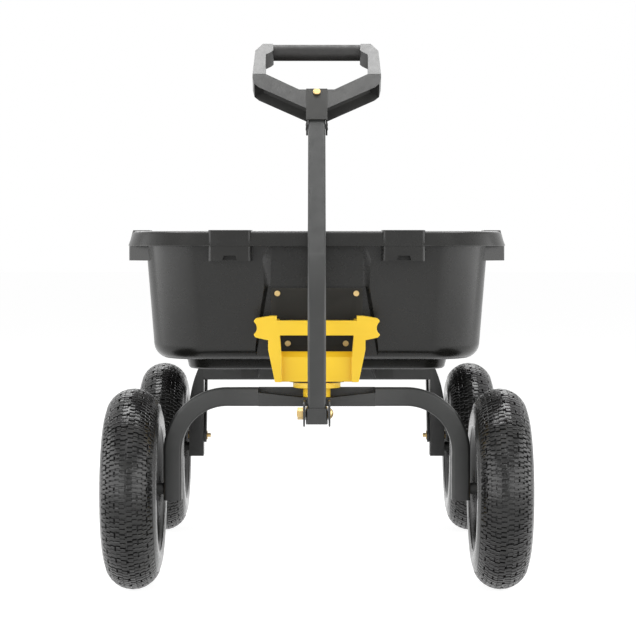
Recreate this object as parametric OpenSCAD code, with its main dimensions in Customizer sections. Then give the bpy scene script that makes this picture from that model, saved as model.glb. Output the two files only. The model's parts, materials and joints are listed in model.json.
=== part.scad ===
// Tipping garden cart: a moulded tub on a steel frame with four pneumatic wheels,
// a steered front axle, a folding pull handle and a front release lever.
// Millimetres, +Z up, X across the cart, the handle end faces -Y.

/* [Wheels] */
// Outside diameter of a tyre
tyre_d = 330; // [310:1:350]
// Width of a tyre across its side walls
tyre_w = 92; // [84:1:100]
// Wall of a tyre
tyre_wall = 8; // [5:0.5:12]
// Distance between the middles of the left and right tyres
track = 602; // [580:2:640]
// Distance between the front and the rear axle
wheelbase = 700; // [650:5:750]
// Height of a tyre's section, from its bead to its tread
tyre_section = 87; // [82:1:92]
// Width between the outsides of the two beads
bead_w = 60; // [54:1:66]
// Sheet thickness of the rim
rim_t = 3; // [2:0.5:5]
// Height of the rim flange above the bead seat
flange_h = 11; // [8:0.5:13]
// Outside diameter of the hub tube
hub_d = 36; // [33:0.5:42]
// Reach of the hub towards the cart from the middle of the wheel
hub_in = 27; // [22:0.5:34]
// Outside diameter of a hub bearing
bearing_d = 28; // [24:0.5:30]
// Length of a hub bearing inside the hub
bearing_l = 14; // [10:1:18]
// Thickness of a bearing's flange
bearing_flange_t = 2; // [1:0.5:3]
// Diameter of a stub axle
axle_d = 16; // [12:0.5:18]
// Thickness of an axle washer
axle_washer_t = 2.5; // [1.5:0.5:4]
// Thickness of an axle nut
axle_nut_t = 10; // [8:1:12]
// Width across the flats of an axle nut
axle_nut_af = 24; // [21:1:27]
// Diameter of a valve stem
valve_d = 8; // [6:0.5:9]

/* [Front axle] */
// Width of the square axle tube
arch_tube = 30; // [27:1:34]
// Corner radius of the axle tube
arch_corner = 5; // [3:0.5:7]
// Wall of the axle tube
arch_wall = 3; // [2:0.5:4]
// Bend radius of the axle tube on its centre line
arch_bend_r = 90; // [70:1:100]
// Height of the arch top above the axle centre
arch_rise = 167; // [160:0.5:180]
// Length of a leg below the axle centre
leg_below = 18; // [14:0.5:24]
// Gap between a leg and the tyre beside it
wheel_gap = 3; // [2:0.5:8]
// Length of the dished saddle between the axle tubes
saddle_l = 192; // [170:2:220]
// Depth of the dish at the ends of the saddle
dish_edge = 7.5; // [5:0.5:10]
// Depth of the dish in the middle of the saddle
dish_mid = 15.5; // [13:0.5:18]
// Diameter of the king pin
king_pin_d = 20; // [16:0.5:24]
// Distance from the king pin to the handle's pivot
tongue_reach = 142; // [130:1:148]
// Height of the arch underside above the handle's pivot
tongue_drop = 1; // [0:0.5:8]
// Height of a tongue plate at its front end
tongue_h = 33; // [30:1:40]
// Thickness of a tongue plate
tongue_t = 3; // [2:0.5:5]
// Diameter of the handle's pivot bolt
tongue_bolt_d = 10; // [8:0.5:12]
// Thickness of a spacer beside the handle's foot
spacer_t = 1; // [0.8:0.1:2]
// Largest steering angle to either side
steer_max = 35; // [20:1:38]

/* [Chassis] */
// Diameter of the steering head's flange
head_flange_d = 78; // [66:1:86]
// Thickness of the steering head's flange
head_flange_t = 9; // [5:0.5:11]
// Diameter of the steering head's neck
head_neck_d = 45; // [38:1:48]
// Width of the head plate
head_plate_w = 90; // [80:1:100]
// Thickness of the head plate
head_plate_t = 6; // [4:0.5:8]
// Reach of the head plate behind the king pin
head_plate_back = 150; // [130:1:200]
// Reach of the head plate in front of the king pin
head_plate_front = 27.5; // [24:0.5:28]
// Height of the rubber rest under the front of the tub
front_rest_h = 10; // [7:0.5:14]
// Width of the backbone tube
backbone_w = 40; // [34:1:50]
// Height of the backbone tube
backbone_h = 40; // [34:1:44]
// Wall of the backbone tube
backbone_wall = 3; // [2:0.5:4]
// Distance from the king pin to the front end of the backbone
backbone_front = 60; // [52:1:80]
// Width and height of the rear crossbar
crossbar = 35; // [30:0.5:36]
// Width of a rear leg across the cart
rear_leg_w = 28.5; // [26:0.5:32]
// Radius of the curve on the outside of a rear leg
rear_leg_curve = 217; // [180:1:260]
// Height of the tub's pivot above the axle centre
pivot_rise = 22; // [20.5:0.5:23]
// Diameter of a tub pivot bolt
pivot_d = 12; // [10:0.5:13]
// Radius of a rubber bump pad
pad_r = 8; // [6:0.5:10]

/* [Tub] */
// Length of the tub over its rim
tub_l = 1016; // [960:4:1060]
// Width of the tub over its rim
tub_w = 636; // [610:2:660]
// Height of the rim above the underside of the floor pan
tub_h = 231.5; // [210:0.5:250]
// Distance of the rim's front edge ahead of the king pin
rim_front = 18; // [8:0.5:20]
// Wall of the tub
tub_wall = 5; // [4:0.5:7]
// Height of the rim's skirt
lip_h = 25; // [20:1:32]
// Outward slope of the rim's skirt
lip_flare = 8; // [4:0.5:10]
// Overhang of the rim past the tub's side
lip_over = 30; // [24:1:34]
// Corner radius of the rim
rim_corner = 115; // [90:1:130]
// Radius along the bottom edge of the tub
bottom_r = 24; // [18:1:36]
// Slope of the side and front walls in degrees
draft = 4.2; // [3.6:0.1:6]
// Slope of the rear wall in degrees
rear_draft = 14; // [8:0.5:18]
// Depth of the floor pan below the rest of the floor
pan_drop = 17; // [12:0.5:22]
// Width of the floor pan
pan_w = 442; // [400:2:442]
// Corner radius of the floor pan
pan_corner = 40; // [30:1:50]
// Depth of the recess in the front wall at its foot
recess_foot = 6; // [4:0.5:8]
// Width of the recess in the front wall at the rim
recess_w = 156; // [150:1:170]
// Slope of the recess's side edges in degrees
recess_slope = 9.5; // [6:0.5:11]
// Width of a rim pocket
pocket_w = 69; // [56:1:80]
// Height of a rim pocket
pocket_h = 51; // [44:1:60]
// Distance of a front pocket from the cart's middle
pocket_x = 142.5; // [135:0.5:160]
// Distance of a side pocket from the middle of the rim
pocket_y = 356; // [300:2:356]
// Height of a rim pocket above the rim
pocket_proud = 1.5; // [1:0.25:3]

/* [Tip frame] */
// Width of a floor rail
rail_w = 30; // [24:1:36]
// Height of a floor rail
rail_h = 19; // [17:0.5:22]
// Distance from the king pin to the front end of a floor rail
rail_front = 130; // [110:1:160]
// Distance of the end bolts from the ends of a floor rail
rail_bolt_in = 75; // [40:1:110]
// Distance of a floor rail from the cart's middle
rail_x = 115; // [90:1:150]
// Distance from the tub's pivot to the tip crossbar, along the cart
tip_back = 56; // [52:1:66]
// Width of the tip crossbar along the cart
tip_bar_w = 28; // [24:1:32]
// Thickness of a tip arm
tip_arm_t = 5; // [4:0.5:7]
// Width of a tip arm
tip_arm_w = 28; // [24:1:30]
// Steepest tipping angle of the tub
tip_max = 70; // [60:1:70]

/* [Latch] */
// Width of the front plate
plate_w = 152; // [146:1:164]
// Height of the front plate
plate_h = 107; // [100:1:124]
// Thickness of the front plate
plate_t = 3; // [2:0.5:4]
// Distance from the rim down to the top of the front plate
plate_down = 94.5; // [84:0.5:104]
// Diameter of the plate bolts
plate_bolt_d = 8; // [6:0.5:9]
// Spacing of the two upper plate bolts
bolt_top_x = 131; // [124:1:138]
// Spacing of the two lower plate bolts
bolt_low_x = 96; // [90:1:100]
// Depth of the upper plate bolts below the plate's top edge
bolt_top_down = 9; // [8:0.5:16]
// Height of the lower plate bolts above the plate's bottom edge
bolt_low_up = 15; // [13:0.5:18]
// Distance from the rim down to the lever's pivot
latch_down = 157.5; // [152:0.5:160]
// Distance of the lever's pivot behind the king pin
latch_y = 5; // [2:0.5:8]
// Distance from the lever's pivot to its front face
lever_reach = 50; // [47:0.5:54]
// Height of the lever's bar
lever_bar_h = 24; // [22:1:30]
// Depth of the lever's bar
lever_bar_t = 24; // [20:1:26]
// Length of the lever's bar between its flared ends
lever_bar_l = 140; // [134:1:146]
// Length of a flared end
lever_end_l = 32; // [28:1:36]
// Height of a flared end
lever_end_h = 39; // [34:1:44]
// Width of a cheek of the lever
cheek_w = 18; // [17:1:22]
// Depth of a cheek of the lever
cheek_t = 20; // [17:1:22]
// Height of the lever from its foot to its pivot
lever_drop = 88; // [84:0.5:89]
// Narrowing of the lever towards its foot, on each side
lever_taper = 11; // [8:0.5:14]
// Height of the lever's recessed web
web_h = 40; // [36:1:44]
// Thickness of the lever's web
web_t = 6; // [4:0.5:8]
// Depth of the web behind the front of the cheeks
web_back = 10; // [8:0.5:12]
// Diameter of the lever's pivot pin
latch_pin_d = 10; // [8:0.5:12]
// Diameter of the catch's cross pin
catch_pin_d = 10; // [8:0.5:12]
// Height of the catch's cross pin above the head plate
catch_rise = 18.5; // [17:0.5:22]
// Width of the hook
hook_w = 44; // [36:1:50]
// Thickness of the hook
hook_t = 8.5; // [6:0.5:10]
// Distance of the hook's tip in front of the catch's cross pin
hook_short = 5.5; // [5:0.5:8]
// Largest swing of the lever in degrees
latch_swing = 25; // [15:1:28]

/* [Pull handle] */
// Width of the square handle tube
handle_tube = 29; // [26:0.5:30]
// Corner radius of the handle tube
handle_corner = 4; // [2:0.5:5]
// Wall of the handle tube
handle_wall = 2; // [1.5:0.25:3]
// Angle that the upper part leans back
handle_lean = 40; // [36:0.5:42]
// Bend radius of the handle on its centre line
handle_bend_r = 200; // [160:5:220]
// Height of the straight lower part above the handle's pivot
handle_low = 115.5; // [110:0.5:125]
// Length of the straight upper part, from the bend to the grip's pivot
handle_up = 286; // [260:1:310]
// Wall of the foot sleeve
foot_wall = 2.6; // [1.6:0.1:3]
// Height of the foot sleeve
foot_h = 25; // [22:0.5:30]
// Height of the handle's pivot above the foot's lower end
foot_below = 16; // [12:0.5:18]

/* [Grip] */
// Width of the grip
grip_w = 220; // [200:1:240]
// Distance from the grip's pivot to the foot of its sides
grip_knee = 107; // [100:1:114]
// Thickness of the grip
grip_t = 33; // [28:0.5:36]
// Diameter of the hand bar
hand_bar_d = 28; // [24:0.5:32]
// Width of a side of the grip
grip_side_w = 22; // [18:0.5:26]
// Thickness of a side of the grip
grip_side_t = 22; // [20:0.5:26]
// Distance from the foot of a side to the middle of the hand bar
grip_side_l = 87; // [76:1:96]
// Angle that the sides lean back from the handle
grip_rake = 12; // [0:1:16]
// Width of the cut at a top corner of the grip
grip_corner = 20; // [14:0.5:24]
// Height of a V arm of the grip at the knuckle
grip_arm_h = 44; // [38:1:48]
// Sheet thickness of the knuckle
knuckle_t = 3; // [2:0.25:4]
// Distance from the grip's pivot to the top of the knuckle
knuckle_l = 72; // [68:1:78]
// Reach of the knuckle's lugs below the grip's pivot
lug_below = 13; // [10:0.5:16]
// Diameter of the grip's pivot rivet
rivet_d = 8; // [6:0.5:10]
// Diameter of the hitch pin
hitch_pin_d = 9; // [7:0.5:11]
// Diameter of the hitch pin's head
hitch_head_d = 13; // [12:0.5:16]
// Distance from the grip's pivot to the hitch pin
hitch_pin_up = 63; // [58:0.5:63]
// Steepest folding angle of the grip
grip_fold_max = 135; // [90:5:135]

/* [Clearances] */
// Radial clearance of a pin that turns or slides
run_gap = 0.05; // [0.02:0.01:0.1]
// Radial clearance of a pressed or bolted shank
fit_gap = 0.02; // [0.01:0.01:0.05]
// Clearance beside a part that moves
side_gap = 0.4; // [0.3:0.1:1]
// Clearance under a part that rests on a stop
rest_gap = 0.3; // [0.2:0.1:0.6]

/* [Hidden] */
$fn = 48;

// Colours
charcoal = [0.22, 0.22, 0.23];
tub_black = [0.11, 0.11, 0.11];
lever_yellow = [0.95, 0.72, 0.06];
zinc_yellow = [0.78, 0.62, 0.32];
bare_steel = [0.62, 0.62, 0.62];
rubber_black = [0.06, 0.06, 0.06];

// The box of the whole cart is centred on the origin
rim_rear_y = tub_l - rim_front;
origin_y = -(rim_rear_y - tyre_d / 2) / 2;

// Wheel stations
axle_z = tyre_d / 2;
bead_seat_d = tyre_d - 2 * tyre_section;
leg_out_x = track / 2 - tyre_w / 2 - wheel_gap;
hub_out = bead_w / 2 - 4;
collar_d = axle_d + 3;
axle_end = hub_out + bearing_flange_t + axle_washer_t + axle_nut_t + 2 * rest_gap;

// Heights of the frame
arch_top = axle_z + arch_rise;
arch_bottom = arch_top - arch_tube;
flange_z = arch_top + side_gap;
plate_z = flange_z + head_flange_t;
plate_top = plate_z + head_plate_t;
pan_z = plate_top + front_rest_h + rest_gap;
rail_z = pan_z - rail_h;
rim_z = pan_z + tub_h;
pad_top = rail_z - rest_gap;
crossbar_top = rail_z - pad_r + 2;
crossbar_z = crossbar_top - crossbar;
pivot_z = axle_z + pivot_rise;
leg_in_x = leg_out_x - rear_leg_w;
tip_arm_in = leg_in_x - side_gap - tip_arm_t;

// Handle stations
pull_y = -tongue_reach;
pull_z = arch_bottom - tongue_drop;
bend_z = pull_z + handle_low;
bend_end_y = pull_y + handle_bend_r * (1 - cos(handle_lean));
bend_end_z = bend_z + handle_bend_r * sin(handle_lean);
grip_y = bend_end_y + handle_up * sin(handle_lean);
grip_z = bend_end_z + handle_up * cos(handle_lean);
foot_w = handle_tube + 2 * foot_wall + 0.1;
clevis_in = foot_w / 2 + spacer_t + side_gap;
knuckle_in = handle_tube / 2 + side_gap;

// Tub stations: the wall lines are taken where they meet the underside of the rim
lip_bottom = rim_z - lip_h;
side_x = tub_w / 2 - lip_over;
front_y = -rim_front + lip_over + lip_flare;
rear_y = rim_rear_y - lip_over - lip_flare;
floor_z = pan_z + pan_drop;
wall_h = lip_bottom - floor_z;
recess_y = front_y + wall_h * tan(draft) + recess_foot;
body_corner = rim_corner - lip_over;
lever_z = rim_z - latch_down;
lever_face = latch_y - lever_reach;
catch_z = plate_top + catch_rise;
front_plate_top = rim_z - plate_down;

module placed() {
    translate([0, origin_y, 0])
        children();
}

// A square with true round corners
module rounded_square(size, r) {
    square([size[0] - 2 * r, size[1]], center = true);
    square([size[0], size[1] - 2 * r], center = true);
    for (x = [-1, 1], y = [-1, 1])
        translate([x * (size[0] / 2 - r), y * (size[1] / 2 - r)])
            circle(r);
}

module tube_section(w, r, wall) {
    difference() {
        rounded_square([w, w], r);
        rounded_square([w - 2 * wall, w - 2 * wall], r - wall / 2);
    }
}

// A cylinder along X, centred on x
module x_rod(d, l, x = 0) {
    translate([x, 0, 0])
        rotate([0, 90, 0])
            cylinder(d = d, h = l, center = true);
}

module x_hex(af, l, x = 0) {
    translate([x, 0, 0])
        rotate([0, 90, 0])
            cylinder(d = af / cos(30), h = l, center = true, $fn = 6);
}

// Wheels: local +Z points away from the cart, along the axle
module wheel_at(side, y) {
    placed()
        translate([side * track / 2, y, axle_z])
            rotate([0, side * 90, 0])
                children();
}

module tyre(side, y) {
    crown_r = tyre_w / 2;
    section_r = tyre_d / 2 - crown_r;
    seat_r = bead_seat_d / 2;
    neck_r = seat_r + flange_h + 2;
    color(rubber_black)
        wheel_at(side, y)
            rotate_extrude($fn = 96)
                difference() {
                    union() {
                        intersection() {
                            translate([section_r, 0])
                                circle(crown_r, $fn = 64);
                            translate([neck_r, -tyre_w])
                                square([tyre_d, 2 * tyre_w]);
                        }
                        translate([seat_r, -bead_w / 2])
                            square([neck_r - seat_r + 1, bead_w]);
                    }
                    translate([section_r, 0])
                        circle(crown_r - tyre_wall, $fn = 64);
                    translate([seat_r - 1, -bead_w / 2 + tyre_wall])
                        square([section_r - seat_r, bead_w - 2 * tyre_wall]);
                }
}

module rim(side, y) {
    seat_r = bead_seat_d / 2 - fit_gap;
    half_w = bead_w / 2 + fit_gap;
    disc_z = hub_out - 14;
    color(charcoal)
        wheel_at(side, y) {
            rotate_extrude($fn = 96) {
                translate([seat_r - rim_t, -half_w - rim_t])
                    square([rim_t, 2 * (half_w + rim_t)]);
                for (z = [-half_w - rim_t, half_w])
                    translate([seat_r - rim_t, z])
                        square([flange_h + rim_t, rim_t]);
                polygon([
                    [hub_d / 2 - 1, disc_z],
                    [hub_d / 2 + 10, disc_z],
                    [seat_r - rim_t - 12, disc_z - 16],
                    [seat_r - 1, disc_z - 16],
                    [seat_r - 1, disc_z - 16 - rim_t],
                    [seat_r - rim_t - 13, disc_z - 16 - rim_t],
                    [hub_d / 2 + 9, disc_z - rim_t],
                    [hub_d / 2 - 1, disc_z - rim_t]
                ]);
            }
            difference() {
                translate([0, 0, -hub_in])
                    cylinder(d = hub_d, h = hub_in + hub_out);
                translate([0, 0, -hub_in - 1])
                    cylinder(d = bearing_d + 2 * fit_gap, h = hub_in + hub_out + 2);
            }
        }
}

module bearings(side, y) {
    flange_d = (bearing_d + hub_d) / 2;
    color(bare_steel)
        wheel_at(side, y)
            difference() {
                union() {
                    translate([0, 0, -hub_in])
                        cylinder(d = bearing_d, h = bearing_l);
                    translate([0, 0, -hub_in - bearing_flange_t])
                        cylinder(d = flange_d, h = bearing_flange_t);
                    translate([0, 0, hub_out - bearing_l])
                        cylinder(d = bearing_d, h = bearing_l);
                    translate([0, 0, hub_out])
                        cylinder(d = flange_d, h = bearing_flange_t);
                }
                translate([0, 0, -track])
                    cylinder(d = axle_d + 2 * run_gap, h = 2 * track);
            }
}

module valve(side, y) {
    seat_r = bead_seat_d / 2 - fit_gap - rim_t;
    stem_r = seat_r - 9;
    color(rubber_black)
        wheel_at(side, y)
            rotate([0, 0, 35]) {
                translate([stem_r, 0, 4])
                    rotate([0, 90, 0])
                        cylinder(d = valve_d, h = seat_r - stem_r - 0.6);
                translate([stem_r, 0, 4])
                    sphere(d = valve_d);
                translate([stem_r, 0, 4])
                    cylinder(d = valve_d, h = 14);
                translate([stem_r, 0, 18])
                    cylinder(d = valve_d - 1.5, h = 8);
            }
}

// Stub axles run from inside a leg out to the wheel's nut
module stub_axles(y, leg_w) {
    axle_x0 = leg_out_x - leg_w;
    axle_x1 = track / 2 + axle_end;
    collar_l = track / 2 - hub_in - bearing_flange_t - rest_gap - leg_out_x;
    color(charcoal)
        placed()
            translate([0, y, axle_z])
                for (side = [-1, 1]) {
                    x_rod(axle_d, axle_x1 - axle_x0, side * (axle_x0 + axle_x1) / 2);
                    x_rod(collar_d, collar_l, side * (leg_out_x + collar_l / 2));
                }
}

module axle_washers(y) {
    x0 = track / 2 + hub_out + bearing_flange_t + rest_gap;
    color(zinc_yellow)
        placed()
            translate([0, y, axle_z])
                for (side = [-1, 1])
                    difference() {
                        x_rod(axle_nut_af + 8, axle_washer_t, side * (x0 + axle_washer_t / 2));
                        x_rod(axle_d + 2 * fit_gap, 3 * axle_washer_t, side * x0);
                    }
}

module axle_nuts(y) {
    x0 = track / 2 + hub_out + bearing_flange_t + rest_gap + axle_washer_t;
    color(zinc_yellow)
        placed()
            translate([0, y, axle_z])
                for (side = [-1, 1])
                    difference() {
                        x_hex(axle_nut_af, axle_nut_t, side * (x0 + axle_nut_t / 2));
                        x_rod(axle_d + 2 * fit_gap, 3 * axle_nut_t, side * x0);
                    }
}

// Chassis
module backbone() {
    color(charcoal)
        placed()
            translate([0, backbone_front, plate_z - backbone_h / 2])
                rotate([-90, 0, 0])
                    linear_extrude(wheelbase - crossbar / 2 - backbone_front)
                        difference() {
                            rounded_square([backbone_w, backbone_h], 2 * backbone_wall);
                            rounded_square([backbone_w - 2 * backbone_wall, backbone_h - 2 * backbone_wall],
                                backbone_wall);
                        }
}

module head_plate() {
    chamfer = head_plate_w / 5;
    color(charcoal)
        placed()
            difference() {
                translate([0, 0, plate_z])
                    linear_extrude(head_plate_t)
                        polygon([
                            [-head_plate_w / 2 + chamfer, -head_plate_front],
                            [head_plate_w / 2 - chamfer, -head_plate_front],
                            [head_plate_w / 2, -head_plate_front + chamfer],
                            [head_plate_w / 2, head_plate_back],
                            [-head_plate_w / 2, head_plate_back],
                            [-head_plate_w / 2, -head_plate_front + chamfer]
                        ]);
                translate([0, 0, plate_z - 1])
                    cylinder(d = king_pin_d + 2 * fit_gap, h = head_plate_t + 2);
            }
}

module steering_head() {
    neck_z = arch_top - dish_mid + side_gap;
    color(lever_yellow)
        placed()
            difference() {
                union() {
                    translate([0, 0, flange_z])
                        cylinder(d = head_flange_d, h = head_flange_t);
                    translate([0, 0, neck_z])
                        cylinder(d = head_neck_d, h = flange_z - neck_z);
                }
                translate([0, 0, neck_z - 1])
                    cylinder(d = king_pin_d + 2 * fit_gap, h = arch_tube + head_flange_t);
            }
}

king_washer_t = 3;
king_nut_t = 13;
king_end_z = arch_bottom - rest_gap - king_washer_t - king_nut_t;

module king_pin() {
    color(bare_steel)
        placed()
            translate([0, 0, king_end_z])
                cylinder(d = king_pin_d, h = plate_top - king_end_z);
}

module king_pin_washer() {
    color(zinc_yellow)
        placed()
            translate([0, 0, king_end_z + king_nut_t])
                difference() {
                    cylinder(d = 1.7 * king_pin_d, h = king_washer_t);
                    translate([0, 0, -1])
                        cylinder(d = king_pin_d + 2 * fit_gap, h = king_washer_t + 2);
                }
}

module king_pin_nut() {
    color(zinc_yellow)
        placed()
            translate([0, 0, king_end_z])
                difference() {
                    cylinder(d = 1.7 * king_pin_d, h = king_nut_t, $fn = 6);
                    translate([0, 0, -1])
                        cylinder(d = king_pin_d + 2 * fit_gap, h = king_nut_t + 2);
                }
}

// Two uprights on the head plate carry the cross pin that the lever's hook reaches under
catch_t = 6;
catch_in = hook_w / 2 + 8;
catch_depth = catch_pin_d + 6;

module latch_catch() {
    color(charcoal)
        placed() {
            for (side = [-1, 1])
                translate([side * (catch_in + catch_t / 2), 0, plate_top]) {
                    translate([-catch_t / 2, -catch_depth / 2, 0])
                        cube([catch_t, catch_depth, catch_rise]);
                    translate([0, 0, catch_rise])
                        x_rod(catch_depth, catch_t);
                }
            translate([0, 0, catch_z])
                x_rod(catch_pin_d, 2 * catch_in + catch_t);
        }
}

module front_rest() {
    rest_l = 34;
    color(rubber_black)
        placed()
            translate([0, head_plate_back - rest_l / 2 - 6, plate_top])
                linear_extrude(front_rest_h)
                    rounded_square([head_plate_w - 16, rest_l], 8);
}

module rear_crossbar() {
    color(charcoal)
        placed()
            translate([0, wheelbase, crossbar_z + crossbar / 2])
                rotate([0, 90, 0])
                    linear_extrude(2 * leg_in_x, center = true)
                        tube_section(crossbar, 5, 3);
}

// A rear leg stands beside the crossbar's end; its outside curves in towards the top
module rear_leg(side) {
    leg_bottom = axle_z - leg_below;
    curve_z = crossbar_top - sqrt(pow(rear_leg_curve, 2) - pow(rear_leg_curve - rear_leg_w + 4, 2));
    color(charcoal)
        placed()
            difference() {
                translate([0, wheelbase, 0])
                    rotate([90, 0, 0])
                        linear_extrude(crossbar, center = true)
                            union() {
                                translate([side > 0 ? leg_in_x : -leg_out_x, leg_bottom])
                                    square([rear_leg_w, curve_z - leg_bottom]);
                                intersection() {
                                    translate([side > 0 ? leg_in_x : -leg_out_x, curve_z - 1])
                                        square([rear_leg_w, crossbar_top - curve_z + 1]);
                                    translate([side * (leg_out_x - rear_leg_curve), curve_z])
                                        circle(rear_leg_curve, $fn = 180);
                                }
                            }
                translate([0, wheelbase, axle_z])
                    x_rod(axle_d + 2 * fit_gap, 3 * rear_leg_w, side * leg_out_x);
                translate([0, wheelbase, pivot_z])
                    x_rod(pivot_d + 2 * fit_gap, 3 * rear_leg_w, side * leg_out_x);
            }
}

// Tub pivot bolts: low round head beside the wheel, push-on ring and bolt end inside the cart
module pivot_bolts() {
    head_t = wheel_gap;
    ring_t = 1.5;
    end_l = 8;
    ring_x = tip_arm_in - rest_gap;
    color(zinc_yellow)
        placed()
            translate([0, wheelbase, pivot_z])
                for (side = [-1, 1]) {
                    x_rod(pivot_d, leg_out_x - ring_x, side * (leg_out_x + ring_x) / 2);
                    x_rod(pivot_d + 4, head_t, side * (leg_out_x + head_t / 2));
                    x_rod(pivot_d + 6, ring_t, side * (ring_x - ring_t / 2));
                    x_rod(pivot_d - 4, end_l, side * (ring_x - end_l / 2));
                }
}

module bump_pads() {
    color(rubber_black)
        placed()
            intersection() {
                translate([0, wheelbase, pad_top - pad_r])
                    for (side = [-1, 1])
                        x_rod(2 * pad_r, rail_w, side * rail_x);
                translate([-track / 2, wheelbase - crossbar, crossbar_top])
                    cube([track, 2 * crossbar, 2 * pad_r]);
            }
}

// Front axle
module axle_tube(side) {
    leg_x = leg_out_x - arch_tube / 2;
    arch_mid = arch_top - arch_tube / 2;
    bend_x = leg_x - arch_bend_r;
    bend_low = arch_mid - arch_bend_r;
    leg_bottom = axle_z - leg_below;
    color(charcoal)
        placed()
            difference() {
                mirror([side > 0 ? 0 : 1, 0, 0]) {
                    translate([saddle_l / 2, 0, arch_mid])
                        rotate([0, 90, 0])
                            linear_extrude(bend_x - saddle_l / 2)
                                tube_section(arch_tube, arch_corner, arch_wall);
                    translate([bend_x, 0, bend_low])
                        rotate([90, 0, 0])
                            rotate_extrude(angle = 90, $fn = 96)
                                translate([arch_bend_r, 0])
                                    tube_section(arch_tube, arch_corner, arch_wall);
                    translate([leg_x, 0, leg_bottom])
                        linear_extrude(bend_low - leg_bottom)
                            tube_section(arch_tube, arch_corner, arch_wall);
                }
                translate([0, 0, axle_z])
                    x_rod(axle_d + 2 * fit_gap, 3 * arch_tube, side * leg_x);
            }
}

module steering_saddle() {
    mid_half = head_neck_d / 2 + 3;
    back_y = arch_tube / 2 - arch_wall;
    back_in = sqrt(pow(head_neck_d / 2 + 3 * side_gap, 2) - pow(back_y, 2));
    color(charcoal)
        placed()
            difference() {
                union() {
                    rotate([90, 0, 0])
                        linear_extrude(arch_tube, center = true)
                            polygon([
                                [-saddle_l / 2, arch_bottom],
                                [saddle_l / 2, arch_bottom],
                                [saddle_l / 2, arch_top - dish_edge],
                                [mid_half, arch_top - dish_mid],
                                [-mid_half, arch_top - dish_mid],
                                [-saddle_l / 2, arch_top - dish_edge]
                            ]);
                    for (x = [-saddle_l / 2, back_in])
                        translate([x, back_y, arch_bottom])
                            cube([saddle_l / 2 - back_in, arch_wall, arch_tube]);
                }
                translate([0, 0, arch_bottom - 1])
                    cylinder(d = king_pin_d + 2 * run_gap, h = arch_tube + 2);
            }
}

// Two plates run forward from the saddle to the handle's pivot
module tongue_plates() {
    nose_r = 21;
    top_z = pull_z + tongue_h - nose_r;
    color(charcoal)
        placed()
            difference() {
                for (side = [-1, 1])
                    translate([side * (clevis_in + tongue_t / 2), 0, 0])
                        rotate([90, 0, 90])
                            linear_extrude(tongue_t, center = true)
                                union() {
                                    translate([pull_y, pull_z])
                                        circle(nose_r);
                                    polygon([
                                        [pull_y - nose_r, pull_z],
                                        [pull_y - nose_r, top_z],
                                        [-arch_tube / 2, min(top_z, arch_top - dish_edge)],
                                        [-arch_tube / 2, arch_bottom + 1],
                                        [pull_y, pull_z - nose_r]
                                    ]);
                                }
                translate([0, pull_y, pull_z])
                    x_rod(tongue_bolt_d + 2 * fit_gap, 4 * clevis_in);
            }
}

clevis_out = clevis_in + tongue_t;
tongue_nut_t = 9;

module tongue_bolt() {
    head_t = 5;
    shank_l = 2 * clevis_out + tongue_nut_t + 1;
    color(zinc_yellow)
        placed()
            translate([0, pull_y, pull_z]) {
                x_rod(tongue_bolt_d, shank_l, clevis_out - shank_l / 2);
                intersection() {
                    x_rod(1.75 * tongue_bolt_d, head_t, clevis_out + head_t / 2);
                    translate([clevis_out - 5.2, 0, 0])
                        sphere(d = 2 * tongue_bolt_d);
                }
            }
}

module tongue_nut() {
    color(zinc_yellow)
        placed()
            translate([0, pull_y, pull_z])
                difference() {
                    x_hex(1.7 * tongue_bolt_d, tongue_nut_t, -clevis_out - tongue_nut_t / 2);
                    x_rod(tongue_bolt_d + 2 * fit_gap, 3 * tongue_nut_t, -clevis_out - tongue_nut_t / 2);
                }
}

module tongue_spacers() {
    color(bare_steel)
        placed()
            translate([0, pull_y, pull_z])
                for (side = [-1, 1])
                    difference() {
                        x_rod(2 * tongue_bolt_d, spacer_t, side * (clevis_in - spacer_t / 2));
                        x_rod(tongue_bolt_d + 2 * fit_gap, 4 * clevis_in);
                    }
}

// Pull handle
// The bend is a hair thicker than the straight parts that run into it
module handle_tube_bent() {
    end_z = foot_below - 1.5;
    swell = 0.1;
    weld = 1;
    color(charcoal)
        placed()
            difference() {
                union() {
                    translate([0, pull_y, pull_z - end_z])
                        linear_extrude(handle_low + end_z + weld)
                            tube_section(handle_tube, handle_corner, handle_wall);
                    translate([0, pull_y + handle_bend_r, bend_z])
                        rotate([90, 0, -90])
                            rotate_extrude(angle = handle_lean, $fn = 96)
                                translate([handle_bend_r, 0])
                                    tube_section(handle_tube + swell, handle_corner, handle_wall + swell);
                    translate([0, bend_end_y, bend_end_z])
                        rotate([-handle_lean, 0, 0])
                            translate([0, 0, -weld])
                                linear_extrude(handle_up + handle_tube / 2 + weld)
                                    tube_section(handle_tube, handle_corner, handle_wall);
                }
                translate([0, grip_y, grip_z])
                    rotate([-handle_lean, 0, 0])
                        difference() {
                            translate([-handle_tube, -handle_tube, 0])
                                cube(2 * handle_tube);
                            x_rod(handle_tube, 3 * handle_tube);
                        }
                translate([0, pull_y, pull_z])
                    x_rod(tongue_bolt_d + 2 * run_gap, 2 * handle_tube);
                translate([0, grip_y, grip_z])
                    x_rod(rivet_d + 2 * run_gap, 2 * handle_tube);
            }
}

module handle_foot() {
    color(charcoal)
        placed()
            difference() {
                translate([0, pull_y, pull_z - foot_below])
                    linear_extrude(foot_h)
                        difference() {
                            rounded_square([foot_w, foot_w], handle_corner);
                            rounded_square([handle_tube + 0.1, handle_tube + 0.1], handle_corner);
                        }
                translate([0, pull_y, pull_z])
                    x_rod(tongue_bolt_d + 2 * run_gap, 2 * foot_w);
            }
}

// Grip: local +Z runs up the handle from the grip's pivot, local +Y points to the back
module at_grip() {
    placed()
        translate([0, grip_y, grip_z])
            rotate([-handle_lean, 0, 0])
                children();
}

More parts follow.
